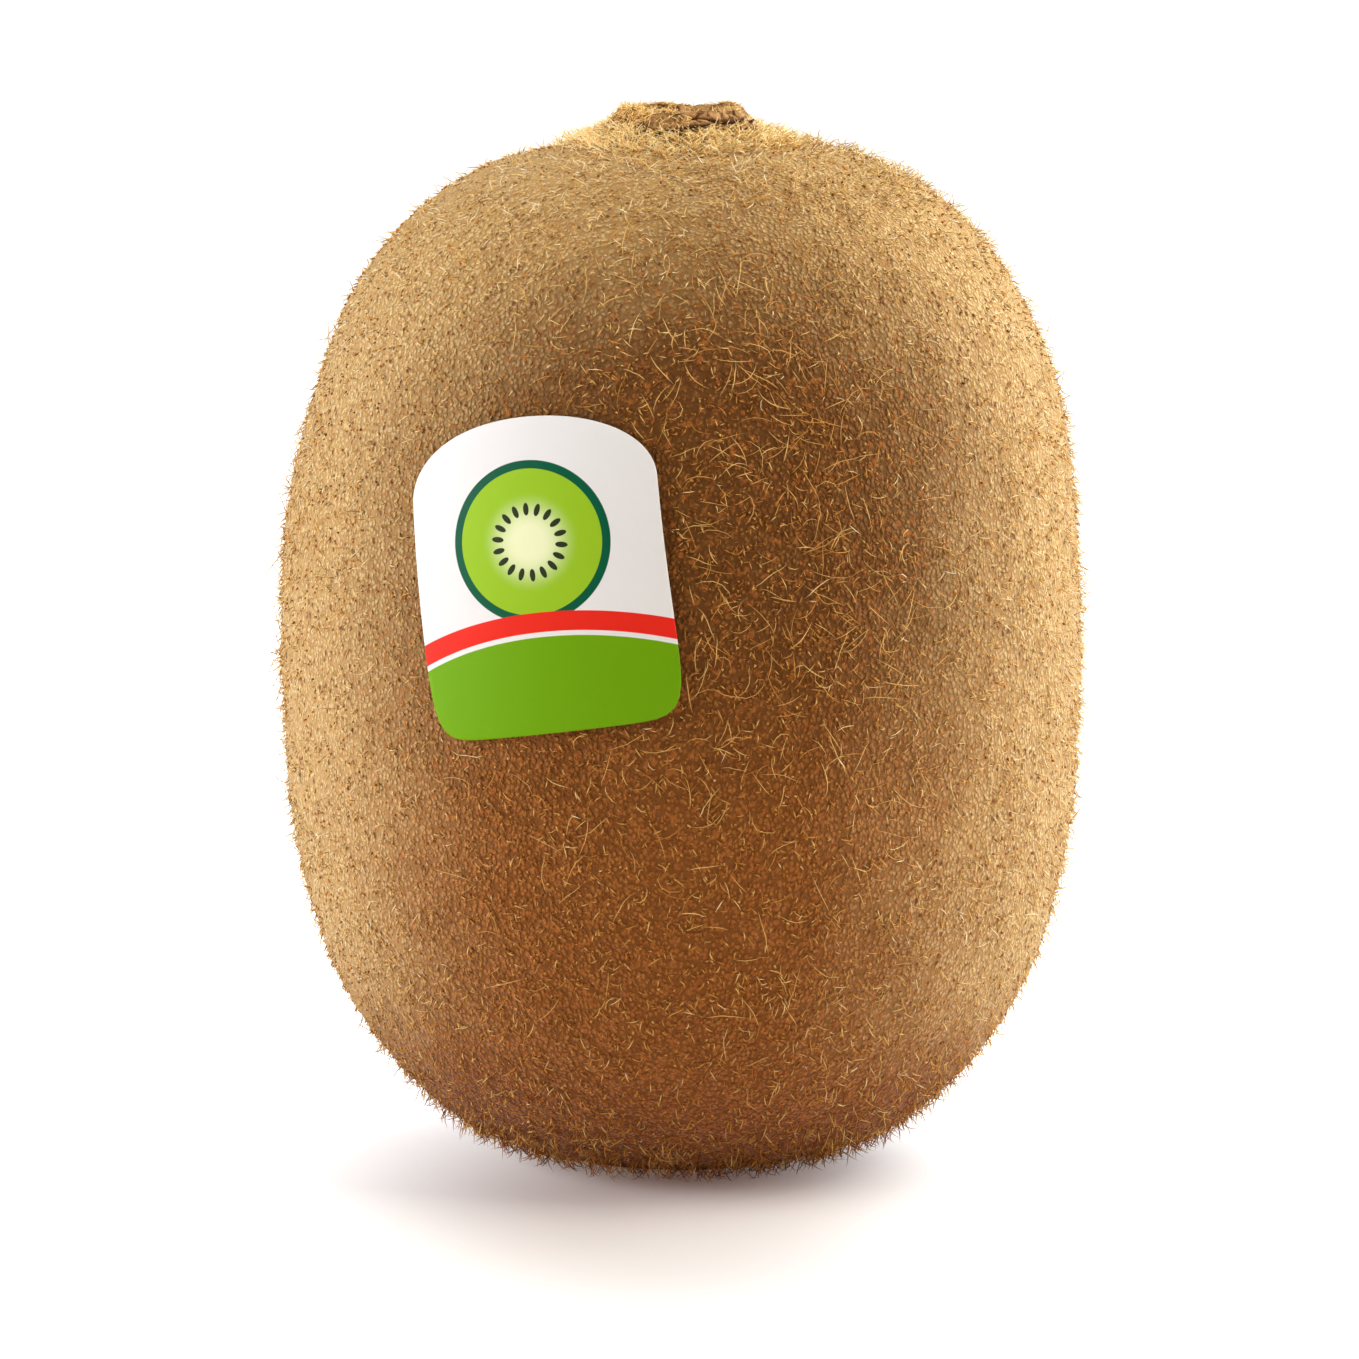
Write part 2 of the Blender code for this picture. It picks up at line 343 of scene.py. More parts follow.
def paint(shader, colour, relief=None, strength=0.8, depth=0.1 * MM):
    """Joins a colour to the shader, and a bump where there is a relief."""
    tree = shader.id_data
    tree.links.new(colour, shader.inputs["Base Color"])
    if relief is not None:
        bump = node(tree, "ShaderNodeBump", {"Strength": strength, "Distance": depth, "Height": relief})
        tree.links.new(bump.outputs["Normal"], shader.inputs["Normal"])


def millimetres(tree, stretch=(1.0, 1.0, 1.0)):
    """The place on the fruit in millimetres, with a stretch for patterns that are longer one way."""
    place = tree.nodes.new("ShaderNodeTexCoord").outputs["Object"]
    scale = {"Vector": place, "Scale": tuple(s / MM for s in stretch)}
    return node(tree, "ShaderNodeMapping", scale).outputs["Vector"]


def noise(place, per_mm, detail=2.0, distortion=0.0):
    """Cloudy noise from 0 to 1, with per_mm waves in a millimetre."""
    inputs = {"Vector": place, "Scale": per_mm, "Detail": detail, "Roughness": 0.6}
    return node(place.id_data, "ShaderNodeTexNoise", {**inputs, "Distortion": distortion}).outputs["Fac"]


def dry_finish(name, roughness, waves, ends, dark, light, bumpy=True, specular=0.5):
    """Dry wood or husk: noise blends dark into light between ends, and raises the light part.
    waves are what noise takes."""
    material, tree, shader = new_finish(name, roughness, specular)
    clouds = noise(millimetres(tree), *waves)
    paint(shader, blend(fade(clouds, *ends), dark, light), clouds if bumpy else None)
    return material


def spots(place, per_mm, edge, core):
    """Round spots from Voronoi cells: 0 past edge and 1 within core, as shares of a cell's width."""
    cells = node(place.id_data, "ShaderNodeTexVoronoi", {"Vector": place, "Scale": per_mm})
    return fade(cells.outputs["Distance"], edge, core)


def rgb(red, green, blue):
    """A linear colour with full alpha."""
    return (red, green, blue, 1.0)


# %% [markdown]
# ### The skin's finish
#
# The skin is tan on its narrow sides and russet on its broad faces and round the blossom end. Part of
# that russet is painted shade: the broad faces turn away from the softboxes at the sides, and the
# blossom end faces the floor. Over that lie finer patterns: a felted grain of about 0.25 mm, partly
# pale fibres and partly painted highlight on the tops of small granules, with painted shade in the
# grooves between them; soft reddish scabs of about 0.5 mm; and dark pores of about 0.3 mm that are a
# little longer than wide, their dark partly their own brown and partly painted shade in the pits.
# Pores and scabs come from Voronoi cells: where a cell's centre lies near the surface, the distance to
# it draws a small round spot, and since each centre lies at its own depth, the spots differ in size
# as real pores do.

# %% Skin material
# The lower brown is lighter than BROWN, painted light from below; the base brown and the shoulder tan are
# darker, painted shade.
TAN, SHADED_SHOULDER_TAN = rgb(0.635, 0.450, 0.205), rgb(0.59, 0.380, 0.135)
BROWN, LIT_LOW_BROWN = rgb(0.178, 0.065, 0.011), rgb(0.335, 0.109, 0.019)
SHADED_BASE_BROWN = rgb(0.30, 0.078, 0.011)
RUSSET, PORE = rgb(0.385, 0.122, 0.022), rgb(0.185, 0.062, 0.013)
GRAIN_AND_HIGHLIGHT_ON_TAN, GRAIN_AND_HIGHLIGHT_ON_BROWN = rgb(0.80, 0.62, 0.34), rgb(0.42, 0.170, 0.038)
GROOVE_SHADE_IN_TAN, GROOVE_SHADE_IN_BROWN = rgb(0.34, 0.160, 0.045), rgb(0.082, 0.030, 0.005)

FACE_TURN = math.radians(-0.5)
FACE_WAY = (math.sin(FACE_TURN), -math.cos(FACE_TURN), 0.0)

# The russet patches, which carry painted shade as well, lean to the right above PATCH_HEIGHT. They
# fade out from PATCH_FULL to PATCH_TOP, and the base's russet and painted shade from BASE_FULL to
# BASE_TOP. These heights are in millimetres.
PATCH_LEAN, PATCH_HEIGHT = 0.12, 34.0
PATCH_TOP, PATCH_FULL = 74.0, 45.0
BASE_FULL, BASE_TOP = 1.0, 16.0

skin_finish, tree, shader = new_finish("kiwi_skin", 0.6, 0.09)
place = millimetres(tree)
long_place = millimetres(tree, (1.0, 1.0, 0.8))
wobble = node(tree, "ShaderNodeTexNoise", {"Vector": place, "Scale": 1.4, "Detail": 1.0}).outputs["Color"]
bent_place = node(tree, "ShaderNodeMix", {0: 0.16, 4: long_place, 5: wobble}, data_type="VECTOR")
bent_place = bent_place.outputs[1]

parts = node(tree, "ShaderNodeSeparateXYZ", {"Vector": place})
up = parts.outputs["Z"]
leaned = minus(parts.outputs["X"], times(minus(up, PATCH_HEIGHT), PATCH_LEAN))
flat = node(tree, "ShaderNodeCombineXYZ", {"X": leaned, "Y": parts.outputs["Y"]}).outputs["Vector"]
flat_way = node(tree, "ShaderNodeVectorMath", {0: flat}, operation="NORMALIZE").outputs["Vector"]
facing = node(tree, "ShaderNodeVectorMath", {0: flat_way, 1: FACE_WAY}, operation="DOT_PRODUCT")
facing = facing.outputs["Value"]
# Painted shade: the broad faces, front and back, lie between the side softboxes and are darkened as well
# as given their real russet.
broad = times(times(facing, facing), fade(up, PATCH_TOP, PATCH_FULL))
russet_and_shade_zone = minus(1.0, times(minus(1.0, broad), fade(up, BASE_FULL, BASE_TOP)))
clouds = plus(times(noise(place, 0.16, 3.0), 0.24), times(russet_and_shade_zone, 0.76))
grain = noise(place, 4.2, 3.0, 0.5)
fibres = noise(place, 2.4, 2.0, 2.6)
scabs = times(spots(place, 1.45, 0.38, 0.25), fade(grain, 0.34, 0.56))
pores = spots(bent_place, 1.5, 0.23, 0.11)
granules = spots(bent_place, 4.4, 0.75, 0.15)
cracks = fade(fibres, 0.43, 0.30)

# The russet is redder low down and reddest at the base. Low down it is also lighter, which is painted
# light from below, and at the base darker, which is painted shade. The tan is more golden and darker
# on the shoulders, which is painted shade under the top light.
browned_and_shaded = fade(clouds, 0.18, 0.80)
brown_lit_and_shaded = blend(fade(up, 40.0, 22.0), BROWN, LIT_LOW_BROWN)
tan_with_shaded_shoulders = blend(fade(up, 50.0, 66.0), TAN, SHADED_SHOULDER_TAN)
brown_lit_and_shaded = blend(fade(up, 11.0, 3.0), brown_lit_and_shaded, SHADED_BASE_BROWN)
colour = blend(browned_and_shaded, tan_with_shaded_shoulders, brown_lit_and_shaded)
# The pale grain is partly the skin's pale fibres and partly a highlight painted on the granules' tops;
# the grooves between the granules are painted shade.
grain_and_highlight = blend(browned_and_shaded, GRAIN_AND_HIGHLIGHT_ON_TAN, GRAIN_AND_HIGHLIGHT_ON_BROWN)
groove_shade = blend(browned_and_shaded, GROOVE_SHADE_IN_TAN, GROOVE_SHADE_IN_BROWN)
colour = blend(times(fade(granules, 0.95, 0.25), 0.56), colour, groove_shade)
lit = times(fade(grain, 0.46, 0.70), fade(granules, 0.35, 0.9))
colour = blend(times(lit, 0.80), colour, grain_and_highlight)
scab_share = plus(times(browned_and_shaded, 0.53), 0.22)
colour = blend(times(scabs, scab_share), colour, RUSSET)
colour = blend(times(cracks, 0.45), colour, BROWN)
# The pores' dark is partly their own brown and partly painted shade in the pits.
colour = blend(times(pores, 0.85), colour, PORE)

relief = plus(times(grain, 0.7), times(fibres, 0.6))
relief = minus(relief, times(pores, 0.5))
relief = plus(relief, times(scabs, 0.25))
relief = plus(relief, times(granules, 0.8))
paint(shader, colour, relief, 0.9, 0.16 * MM)
shader.inputs["Sheen Weight"].default_value = 0.18
shader.inputs["Sheen Roughness"].default_value = 0.35
shader.inputs["Sheen Tint"].default_value = rgb(0.96, 0.92, 0.84)
fruit.data.materials.append(skin_finish)

# %% [markdown]
# ## Where the label lies
#
# The label comes before the hairs, because no hair grows through it. It is an arch above a square
# foot with round corners, both superellipses. It is laid on the skin the way paper is: its width is
# wound round the fruit and its height follows the profile. The way back, from a point in space to a
# place on the label, tells which hairs are in its way.

# %% The label's outline and its place on the skin
LABEL_WIDTH, LABEL_HEIGHT = 15.9 * MM, 19.2 * MM
LABEL_TURN, LABEL_LEAN = math.radians(-20.8), math.radians(8.8)
LABEL_ABOVE_MIDDLE = 7.8 * MM
ARCH_START, ARCH_FULLNESS, FOOT_FULLNESS = 0.265, 2.05, 10.0
SHOULDER = ARCH_START * LABEL_HEIGHT


def label_edge(angle):
    """The edge at an angle from the point where arch and foot meet: a direction over its size."""
    across, along = np.cos(angle), np.sin(angle)
    tall = np.where(along > 0, LABEL_HEIGHT / 2 - SHOULDER, LABEL_HEIGHT / 2 + SHOULDER)
    power = np.where(along > 0, ARCH_FULLNESS, FOOT_FULLNESS)
    size = (np.abs(across / (LABEL_WIDTH / 2)) ** power + np.abs(along / tall) ** power) ** (1 / power)
    return across / size, along / size + SHOULDER


def on_skin(right, up, off):
    """A point of the label's plane, laid on the fruit and lifted off its skin along the normal."""
    over = right * math.cos(LABEL_LEAN) - up * math.sin(LABEL_LEAN)
    rise = right * math.sin(LABEL_LEAN) + up * math.cos(LABEL_LEAN)
    height = (LABEL_ABOVE_MIDDLE + rise) / HALF_HEIGHT
    turn, step = LABEL_TURN + over / (MEAN_RADIUS * reach_at(height)), 1e-4
    point = plain_skin(turn, reach_at(height), height)
    round_it = plain_skin(turn + step, reach_at(height), height) - point
    upwards = plain_skin(turn, reach_at(height + step), height + step) - point
    return point + np.array([0.0, 0.0, MIDDLE]) + off[..., None] * unit(np.cross(round_it, upwards))


def under_label(points, margin):
    """True where a point lies under or over the label, or within margin of its edge."""
    turn = np.arctan2(points[..., 0] / HALF_WIDTH, -points[..., 1] / HALF_DEPTH)
    rise = points[..., 2] - MIDDLE - LABEL_ABOVE_MIDDLE
    reach = reach_at(np.clip((points[..., 2] - MIDDLE) / HALF_HEIGHT, -0.98, 0.98))
    over = (turn - LABEL_TURN) * MEAN_RADIUS * reach
    right = over * math.cos(LABEL_LEAN) + rise * math.sin(LABEL_LEAN)
    up = rise * math.cos(LABEL_LEAN) - over * math.sin(LABEL_LEAN) - SHOULDER
    tall = np.where(up > 0, LABEL_HEIGHT / 2 - SHOULDER, LABEL_HEIGHT / 2 + SHOULDER) + margin
    power = np.where(up > 0, ARCH_FULLNESS, FOOT_FULLNESS)
    size = np.abs(right / (LABEL_WIDTH / 2 + margin)) ** power + np.abs(up / tall) ** power
    return size < 1.0


# %% [markdown]
# ## Hairs
#
# Blender can comb hair particles or curves over a mesh, but those vanish when a model is exported.
# Here each hair is a small closed mesh: a centre line of a few points, with a ring of three points
# round each inner one, pinched shut at root and tip. A short hair has one ring and six triangles, so
# tens of thousands are cheap. All hairs of a kind are worked out at once as arrays.
#
# Roots are scattered evenly by area: the skin is cut into cells, and each cell is drawn as often as
# its area, times a weight, says.

# %% Scatter roots over the skin
cell_turn, cell_share = np.meshgrid(np.linspace(0, 2 * math.pi, 361), np.linspace(0, 1, 241))
cell_corners = fruit_skin(cell_turn, polar_at(cell_share))
cell_round = cell_corners[:-1, 1:] - cell_corners[:-1, :-1]
cell_down = cell_corners[1:, :-1] - cell_corners[:-1, :-1]
cell_area = np.linalg.norm(np.cross(cell_round, cell_down), axis=-1)
cell_middle = (cell_corners[:-1, :-1] + cell_corners[1:, 1:]) / 2
print(f"skin area: {cell_area.sum() / MM**2:.0f} square mm")


def scatter(count, weight):
    """turn and polar of count roots. weight is a number for each cell, such as 0 where none grow."""
    odds = np.cumsum((cell_area * weight).ravel())
    cell = np.searchsorted(odds, dice.uniform(0, odds[-1], count))
    row, column = np.divmod(cell, cell_area.shape[1])
    turn = (column + dice.uniform(size=count)) * (2 * math.pi / cell_area.shape[1])
    return turn, polar_at((row + dice.uniform(size=count)) / cell_area.shape[0])


# %% [markdown]
# A hair leaves the skin at a lean from the normal and heads some way round it. Each further stretch
# leans and heads a little differently, which bends or kinks it. The curve of the fruit is taken off
# as distance squared over twice the radius, so a long hair follows the skin instead of leaving it.

# %% Grow centre lines and wrap them
FLOOR_GAP, LEAST_HEIGHT, ROOT_DEPTH = 0.12 * MM, 0.06 * MM, 0.08 * MM


def sprout(root, normal, length, lean, heading, bend, kink, stretches):
    """Centre lines as an array [hair, point, axis], from angles in radians and lengths in metres.

    heading 0 points to the blossom end. Stretch k leans lean + bend * k / stretches and heads by a
    running sum of turns: one of its own that makes the hair curl, and small random ones that kink it.
    A point under FLOOR_GAP is eased up to gap * exp(height / gap - 1), so that it stays off the floor.
    """
    down = unit(np.cross(normal, np.cross(np.array([0.0, 0.0, -1.0]), normal)))
    aside = np.cross(normal, down)
    place = np.arange(stretches) / stretches
    curl = dice.normal(0, kink, (len(root), 1))
    turns = np.cumsum(curl + dice.normal(0, 0.6 * kink, (len(root), stretches)), axis=1)
    leaning = lean[:, None] + bend[:, None] * place + dice.normal(0, 0.25, turns.shape) * kink
    headed = heading[:, None] + turns
    way = np.cos(leaning)[..., None] * normal[:, None] + np.sin(leaning)[..., None] * (
        np.cos(headed)[..., None] * down[:, None] + np.sin(headed)[..., None] * aside[:, None]
    )
    steps = np.cumsum(way * (length / stretches)[:, None, None], axis=1)
    line = root[:, None] + np.concatenate([np.zeros((len(root), 1, 3)), steps], axis=1)
    gone = np.linspace(0, 1, stretches + 1)[None] * length[:, None] * np.sin(lean)[:, None]
    line -= (gone**2 / (2 * MEAN_RADIUS))[..., None] * normal[:, None]
    height = line[..., 2]
    eased = FLOOR_GAP * np.exp(np.minimum(height / FLOOR_GAP - 1, 0))
    line[..., 2] = np.maximum(np.where(height < FLOOR_GAP, eased, height), LEAST_HEIGHT)
    return line


def grow(turn, polar, *habits):
    """Centre lines of hairs whose roots are a little below the skin. habits go on to sprout."""
    normal = outward(turn, polar)
    root = fruit_skin(turn, polar)
    return sprout(root + (lumps(root, root[:, 2]) - ROOT_DEPTH)[:, None] * normal, normal, *habits)


def tubes(name, line, girth, tone, finish):
    """Closed three-sided tubes round centre lines. girth is the radius at each inner point.

    A ring lies in the plane of two vectors square to the hair's way. The map's u is the hair's tone
    and its v the share of its length, so a finish can colour hairs one by one and root to tip.
    """
    hairs, count = line.shape[:2]
    way = unit(np.gradient(line, axis=1)[:, 1:-1])
    middle = way[:, way.shape[1] // 2]
    other = unit(np.cross(middle, dice.normal(size=(hairs, 3))))
    side = unit(np.cross(way, other[:, None]))
    third = 2 * math.pi / 3 * np.arange(3)
    ring = np.cos(third)[:, None] * side[..., None, :]
    ring = ring + np.sin(third)[:, None] * np.cross(way, side)[..., None, :]
    ring = line[:, 1:-1, None] + girth[..., None, None] * ring
    points = np.concatenate([line[:, :1], ring.reshape(hairs, -1, 3), line[:, -1:]], axis=1)

    here, there = np.arange(3), np.roll(np.arange(3), -1)
    start = 1 + 3 * np.arange(count - 3)[:, None]
    wall_a = np.stack([start + here, start + there, start + 3 + there], axis=-1).reshape(-1, 3)
    wall_b = np.stack([start + here, start + 3 + there, start + 3 + here], axis=-1).reshape(-1, 3)
    tip = 1 + 3 * (count - 2)
    root_fan = np.stack([np.zeros(3, int), 1 + there, 1 + here], axis=-1)
    tip_fan = np.stack([tip - 3 + here, tip - 3 + there, np.full(3, tip)], axis=-1)
    one = np.concatenate([root_fan, wall_a, wall_b, tip_fan])
    triangles = (one[None] + (tip + 1) * np.arange(hairs)[:, None, None]).reshape(-1, 3)

    beside = np.concatenate([[0.0], np.tile([-0.002, 0.0, 0.002], count - 2), [0.0]])
    along = np.concatenate([[0.0], np.repeat(np.linspace(0, 1, count)[1:-1], 3), [1.0]])
    tone_map = np.stack(np.broadcast_arrays(np.clip(tone, 0.01, 0.99)[:, None] + beside, along), axis=-1)
    corner_map = tone_map.reshape(-1, 2)[triangles.ravel()]
    piece = mesh_piece(name, points.reshape(-1, 3), triangles, corner_map, ["hair_tone", "OFBake"])
    piece.data.materials.append(finish)
    return piece


# %% [markdown]
# ### The hairs' finish
#
# A kiwi fruit's hairs run from dark brown stubs to pale straw, and those round the stem are golden.
# A finish is a strip of colours read by the tone that each hair carries in its map, darker at the
# root than at the tip: partly the hair's own brown, partly painted shade near the skin. Hair has a
# soft gleam, so its roughness is lower than the skin's.

# %% Hair material
BROWN_TO_STRAW = [
    (0.00, rgb(0.10, 0.030, 0.005)),
    (0.25, rgb(0.31, 0.090, 0.012)),
    (0.50, rgb(0.57, 0.275, 0.056)),
    (0.75, rgb(0.80, 0.550, 0.205)),
    (1.00, rgb(0.92, 0.800, 0.560)),
]
GOLDEN = [(0.0, rgb(0.42, 0.190, 0.035)), (0.5, rgb(0.93, 0.600, 0.190)), (1.0, rgb(1.0, 0.850, 0.520))]


def hair_material(name, tones, root_dark, root_end=0.55):
    """A hair finish from a strip of colours. root_dark is how far the root's dark covers it, partly the
    hair's own brown and partly painted shade near the skin, and root_end the share of the hair's length
    at which that dark has faded out."""
    material, tree, shader = new_finish(name, 0.5, 0.12)
    tone, along = map_place(tree, "hair_tone")
    strip = node(tree, "ShaderNodeValToRGB", {"Fac": tone})
    while len(strip.color_ramp.elements) < len(tones):
        strip.color_ramp.elements.new(0.5)
    for stop, (position, tone_colour) in zip(strip.color_ramp.elements, tones):
        stop.position, stop.color = position, tone_colour
    # Painted shade, with the hair's own brown: the root darkens towards the skin.
    root_shade = times(fade(along, root_end, 0.0), root_dark)
    paint(shader, blend(root_shade, strip.outputs["Color"], rgb(0.18, 0.054, 0.009)))
    return material


hair_finish = hair_material("kiwi_hair", BROWN_TO_STRAW, 0.45)
golden_finish = hair_material("golden_hair", GOLDEN, 0.20)
bristle_finish = hair_material("kiwi_bristle", BROWN_TO_STRAW, 1.0, 0.72)

# %% [markdown]
# ### Planting a kind of hair
#
# Every kind goes through the same steps: roots with a length and a lean, centre lines grown from
# them, a tone and a width. Those that would touch the label are dropped, and the rest become tubes,
# in bands of height where one piece would grow too heavy.

# %% Plant and cover
LABEL_MARGIN = 0.12 * MM
pieces = []


def russet_and_shade_at(points):
    """Russet with painted shade: 1 on the two broad faces and round the blossom end, 0 on the narrow
    sides and the shoulders.
    """
    height = points[..., 2]
    shift = (height - PATCH_HEIGHT * MM) * PATCH_LEAN
    flat = unit(np.stack([points[..., 0] - shift, points[..., 1]], axis=-1))
    broad = (flat @ np.array(FACE_WAY[:2])) ** 2 * smooth_step(height, PATCH_TOP * MM, PATCH_FULL * MM)
    return 1.0 - (1.0 - broad) * (1.0 - smooth_step(height, BASE_TOP * MM, BASE_FULL * MM))


def plant(count, weight, lengths, leans):
    """turn, polar, length in metres and lean in radians of count hairs. lengths and leans are the
    ends of their ranges, in millimetres and degrees."""
    turn, polar = scatter(count, weight)
    length = dice.uniform(*lengths, count) * MM
    return turn, polar, length, np.radians(dice.uniform(*leans, count))


def headings(count, spread):
    """Random headings: a normal spread about the way to the blossom end."""
    return dice.normal(0.0, spread, count)


def cover(names, line, tone, width, taper=(1.0, 0.75), borders=(), finish=hair_finish):
    """Makes tubes of the hairs that are clear of the label, one piece for each band of height
    between borders. taper is the share of the width at each inner point of a hair."""
    free = ~under_label(line, LABEL_MARGIN).any(axis=1)
    line, tone, girth = line[free], tone[free], width[free, None] * np.array(taper)
    band = np.searchsorted(borders, line[:, 0, 2], side="right")
    for number, name in enumerate(names):
        chosen = band == number
        pieces.append(tubes(name, line[chosen], girth[chosen], tone[chosen], finish))


front_turn = (cell_turn[:-1, :-1] + math.pi) % (2 * math.pi) - math.pi
cell_height = (cell_middle[..., 2] - MIDDLE) / HALF_HEIGHT
cell_radius = np.hypot(cell_middle[..., 0], cell_middle[..., 1])
cell_russet_and_shade = russet_and_shade_at(cell_middle)
grows = smooth_step(cell_middle[..., 2], 0.25 * MM, 0.9 * MM)
grows = grows * np.where(cell_height > 0, smooth_step(cell_radius, 3.2 * MM, 4.4 * MM), 1.0)
print(f"russet share of the skin: {(cell_russet_and_shade * cell_area).sum() / cell_area.sum():.2f}")

# %% [markdown]
# ### The felt
#
# Short hairs lie nearly flat all over the fruit and head every way, a little more towards the
# blossom end. They are pale on tan skin and rusty on the broad faces, and like the skin there they
# carry painted shade; low on the broad faces they are a little paler, which is painted light.

# %% Felt of short hairs
FELT_HAIRS = 32000
planted = plant(FELT_HAIRS, grows * (0.42 + 0.73 * cell_russet_and_shade), (0.30, 0.70), (48, 82))
line = grow(*planted, headings(FELT_HAIRS, 1.6), np.full(FELT_HAIRS, 0.35), 0.2, 2)
russet_and_shade = smooth_step(russet_and_shade_at(line[:, 0]), 0.0, 1.0)
tone = 0.81 - 0.55 * russet_and_shade + 0.04 * drift(line[:, 0], 5 * MM, 11)
tone = tone + dice.normal(0, 1, FELT_HAIRS) * (0.11 + 0.07 * russet_and_shade)
# Painted light: low on the broad faces the felt is a little paler.
tone += 0.06 * smooth_step(line[:, 0, 2], 34 * MM, 16 * MM) * russet_and_shade
width = dice.uniform(0.018, 0.030, FELT_HAIRS) * (1.0 + 0.4 * russet_and_shade) * MM
felt_names = ["felt_hairs_base", "felt_hairs_middle", "felt_hairs_stem"]
cover(felt_names, line, tone, width, (1.0,), (22 * MM, 45 * MM))

# %% [markdown]
# ### Stubs
#
# Most of the stiff hairs broke off in handling and left red-brown stubs, two or so to a square
# millimetre. Each is a small stout cone that leans over, lit on one side and dark on the other. On
# the tan sides they look like raised dots; on the dark faces they run together like rusty crumbs.

# %% Stubs of broken hairs
STUBS = 15000
planted = plant(STUBS, grows * (0.75 + 0.5 * cell_russet_and_shade), (0.22, 0.37), (28, 68))
line = grow(*planted, headings(STUBS, 0.8), np.full(STUBS, 0.2), 0.2, 2)
russet_and_shade = smooth_step(russet_and_shade_at(line[:, 0]), 0.0, 1.0)
tone = 0.36 + 0.02 * russet_and_shade + dice.normal(0, 0.11, STUBS)
cover(["hair_stubs"], line, tone, dice.uniform(0.055, 0.110, STUBS) * MM, (1.0,))

# %% [markdown]
# ### Bristles
#
# Between the stubs stand bristles that kept their tips: thick commas of less than a millimetre, with
# a dark root and a straw back, that lean towards the blossom end.

# %% Bristles
BRISTLES = 7000
planted = plant(BRISTLES, grows * (1.0 - 0.5 * cell_russet_and_shade), (0.45, 0.85), (32, 66))
line = grow(*planted, headings(BRISTLES, 0.9), dice.uniform(0.3, 0.9, BRISTLES), 0.2, 3)
# Darker on the broad faces and round the blossom end: partly russet, partly painted shade.
tone = 0.85 - 0.36 * russet_and_shade_at(line[:, 0]) + dice.normal(0, 0.10, BRISTLES)
cover(["bristles"], line, tone, dice.uniform(0.042, 0.066, BRISTLES) * MM, finish=bristle_finish)

# %% [markdown]
# ### Bent hairs
#
# Over the felt stand hairs of about a millimetre, bent like commas. They stand in small tufts and
# make the spikes along the outline. They are denser at both ends of the fruit.

# %% Bent hairs
BENT_HAIRS = 11000
ends = 1.0 + np.where(cell_height > 0, 0.8, 0.5) * smooth_step(np.abs(cell_height), 0.70, 0.97)
patches = 0.75 + 0.5 * drift(cell_middle, 14 * MM, 21) + 0.30 * np.sin(front_turn)
tufts = 0.35 + 1.65 * smooth_step(drift(cell_middle, 3.0 * MM, 22), 0.0, 1.0)
bare = 1.0 - 0.55 * cell_russet_and_shade * smooth_step(cell_middle[..., 2], 12 * MM, 22 * MM)
weight = grows * ends * np.clip(patches, 0.15, 2.0) * tufts * bare
planted = plant(BENT_HAIRS, weight, (0.6, 1.4), (15, 68))
bend = dice.uniform(0.1, 1.0, BENT_HAIRS)
line = grow(*planted, headings(BENT_HAIRS, 1.3), bend, 0.30, 3)
# Darker on the broad faces and round the blossom end: partly russet, partly painted shade.
tone = 0.82 - 0.32 * russet_and_shade_at(line[:, 0]) + 0.05 * drift(line[:, 0], 6 * MM, 12)
tone = tone + dice.normal(0, 0.15, BENT_HAIRS)
width = dice.uniform(0.027, 0.044, BENT_HAIRS) * MM
cover(["bent_hairs_base", "bent_hairs_stem"], line, tone, width, borders=(34 * MM,))

# %% [markdown]
# ### Long hairs
#
# Golden hairs of 1.2 to 3.3 mm lie loosely across the fruit in drifts, where handling hasn't rubbed
# them off. They are kinked, so they get more stretches, and they head every way.

# %% Long hairs
LONG_HAIRS = 2300
front_drift = np.exp(-(((front_turn - 0.25) / 0.62) ** 2)) * smooth_step(cell_height, -0.9, 0.15)
other_drifts = np.clip(0.15 + 0.9 * drift(cell_middle, 26 * MM, 33), 0.05, 1.0)
weight = grows * np.maximum(front_drift, other_drifts * (np.abs(front_turn) > 0.9))
planted = plant(LONG_HAIRS, weight, (1.2, 3.3), (55, 82))
bend = dice.uniform(-0.1, 0.35, LONG_HAIRS)
line = grow(*planted, dice.uniform(-math.pi, math.pi, LONG_HAIRS), bend, 0.20, 5)
tone = 0.59 + dice.normal(0, 0.09, LONG_HAIRS)
cover(["long_hairs"], line, tone, dice.uniform(0.022, 0.032, LONG_HAIRS) * MM, (1.0, 1.0, 0.85, 0.6))

# %% [markdown]
# ### The collar and the foot
#
# Straw hairs crowd round the stem button and stand up against the calyx. Another tuft grows round
# the blossom end, where nothing rubs it.

# %% Collar and foot hairs
COLLAR_HAIRS, FOOT_HAIRS = 4800, 2000
collar = smooth_step(cell_radius, 3.2 * MM, 3.9 * MM) * smooth_step(cell_radius, 8.5 * MM, 4.0 * MM)
turn, polar, length, lean = plant(COLLAR_HAIRS, collar * (cell_height > 0), (0.8, 1.6), (25, 76))
away = np.linalg.norm(fruit_skin(turn, polar)[:, :2], axis=1)
length *= 0.6 + 0.4 * smooth_step(away, 3.5 * MM, 5.5 * MM)
heading = headings(COLLAR_HAIRS, 1.2)
line = grow(turn, polar, length, lean, heading, dice.uniform(0.1, 0.9, COLLAR_HAIRS), 0.3, 3)
tone = dice.normal(0.74, 0.17, COLLAR_HAIRS)
width = dice.uniform(0.028, 0.042, COLLAR_HAIRS) * MM
cover(["collar_hairs"], line, tone, width, finish=golden_finish)

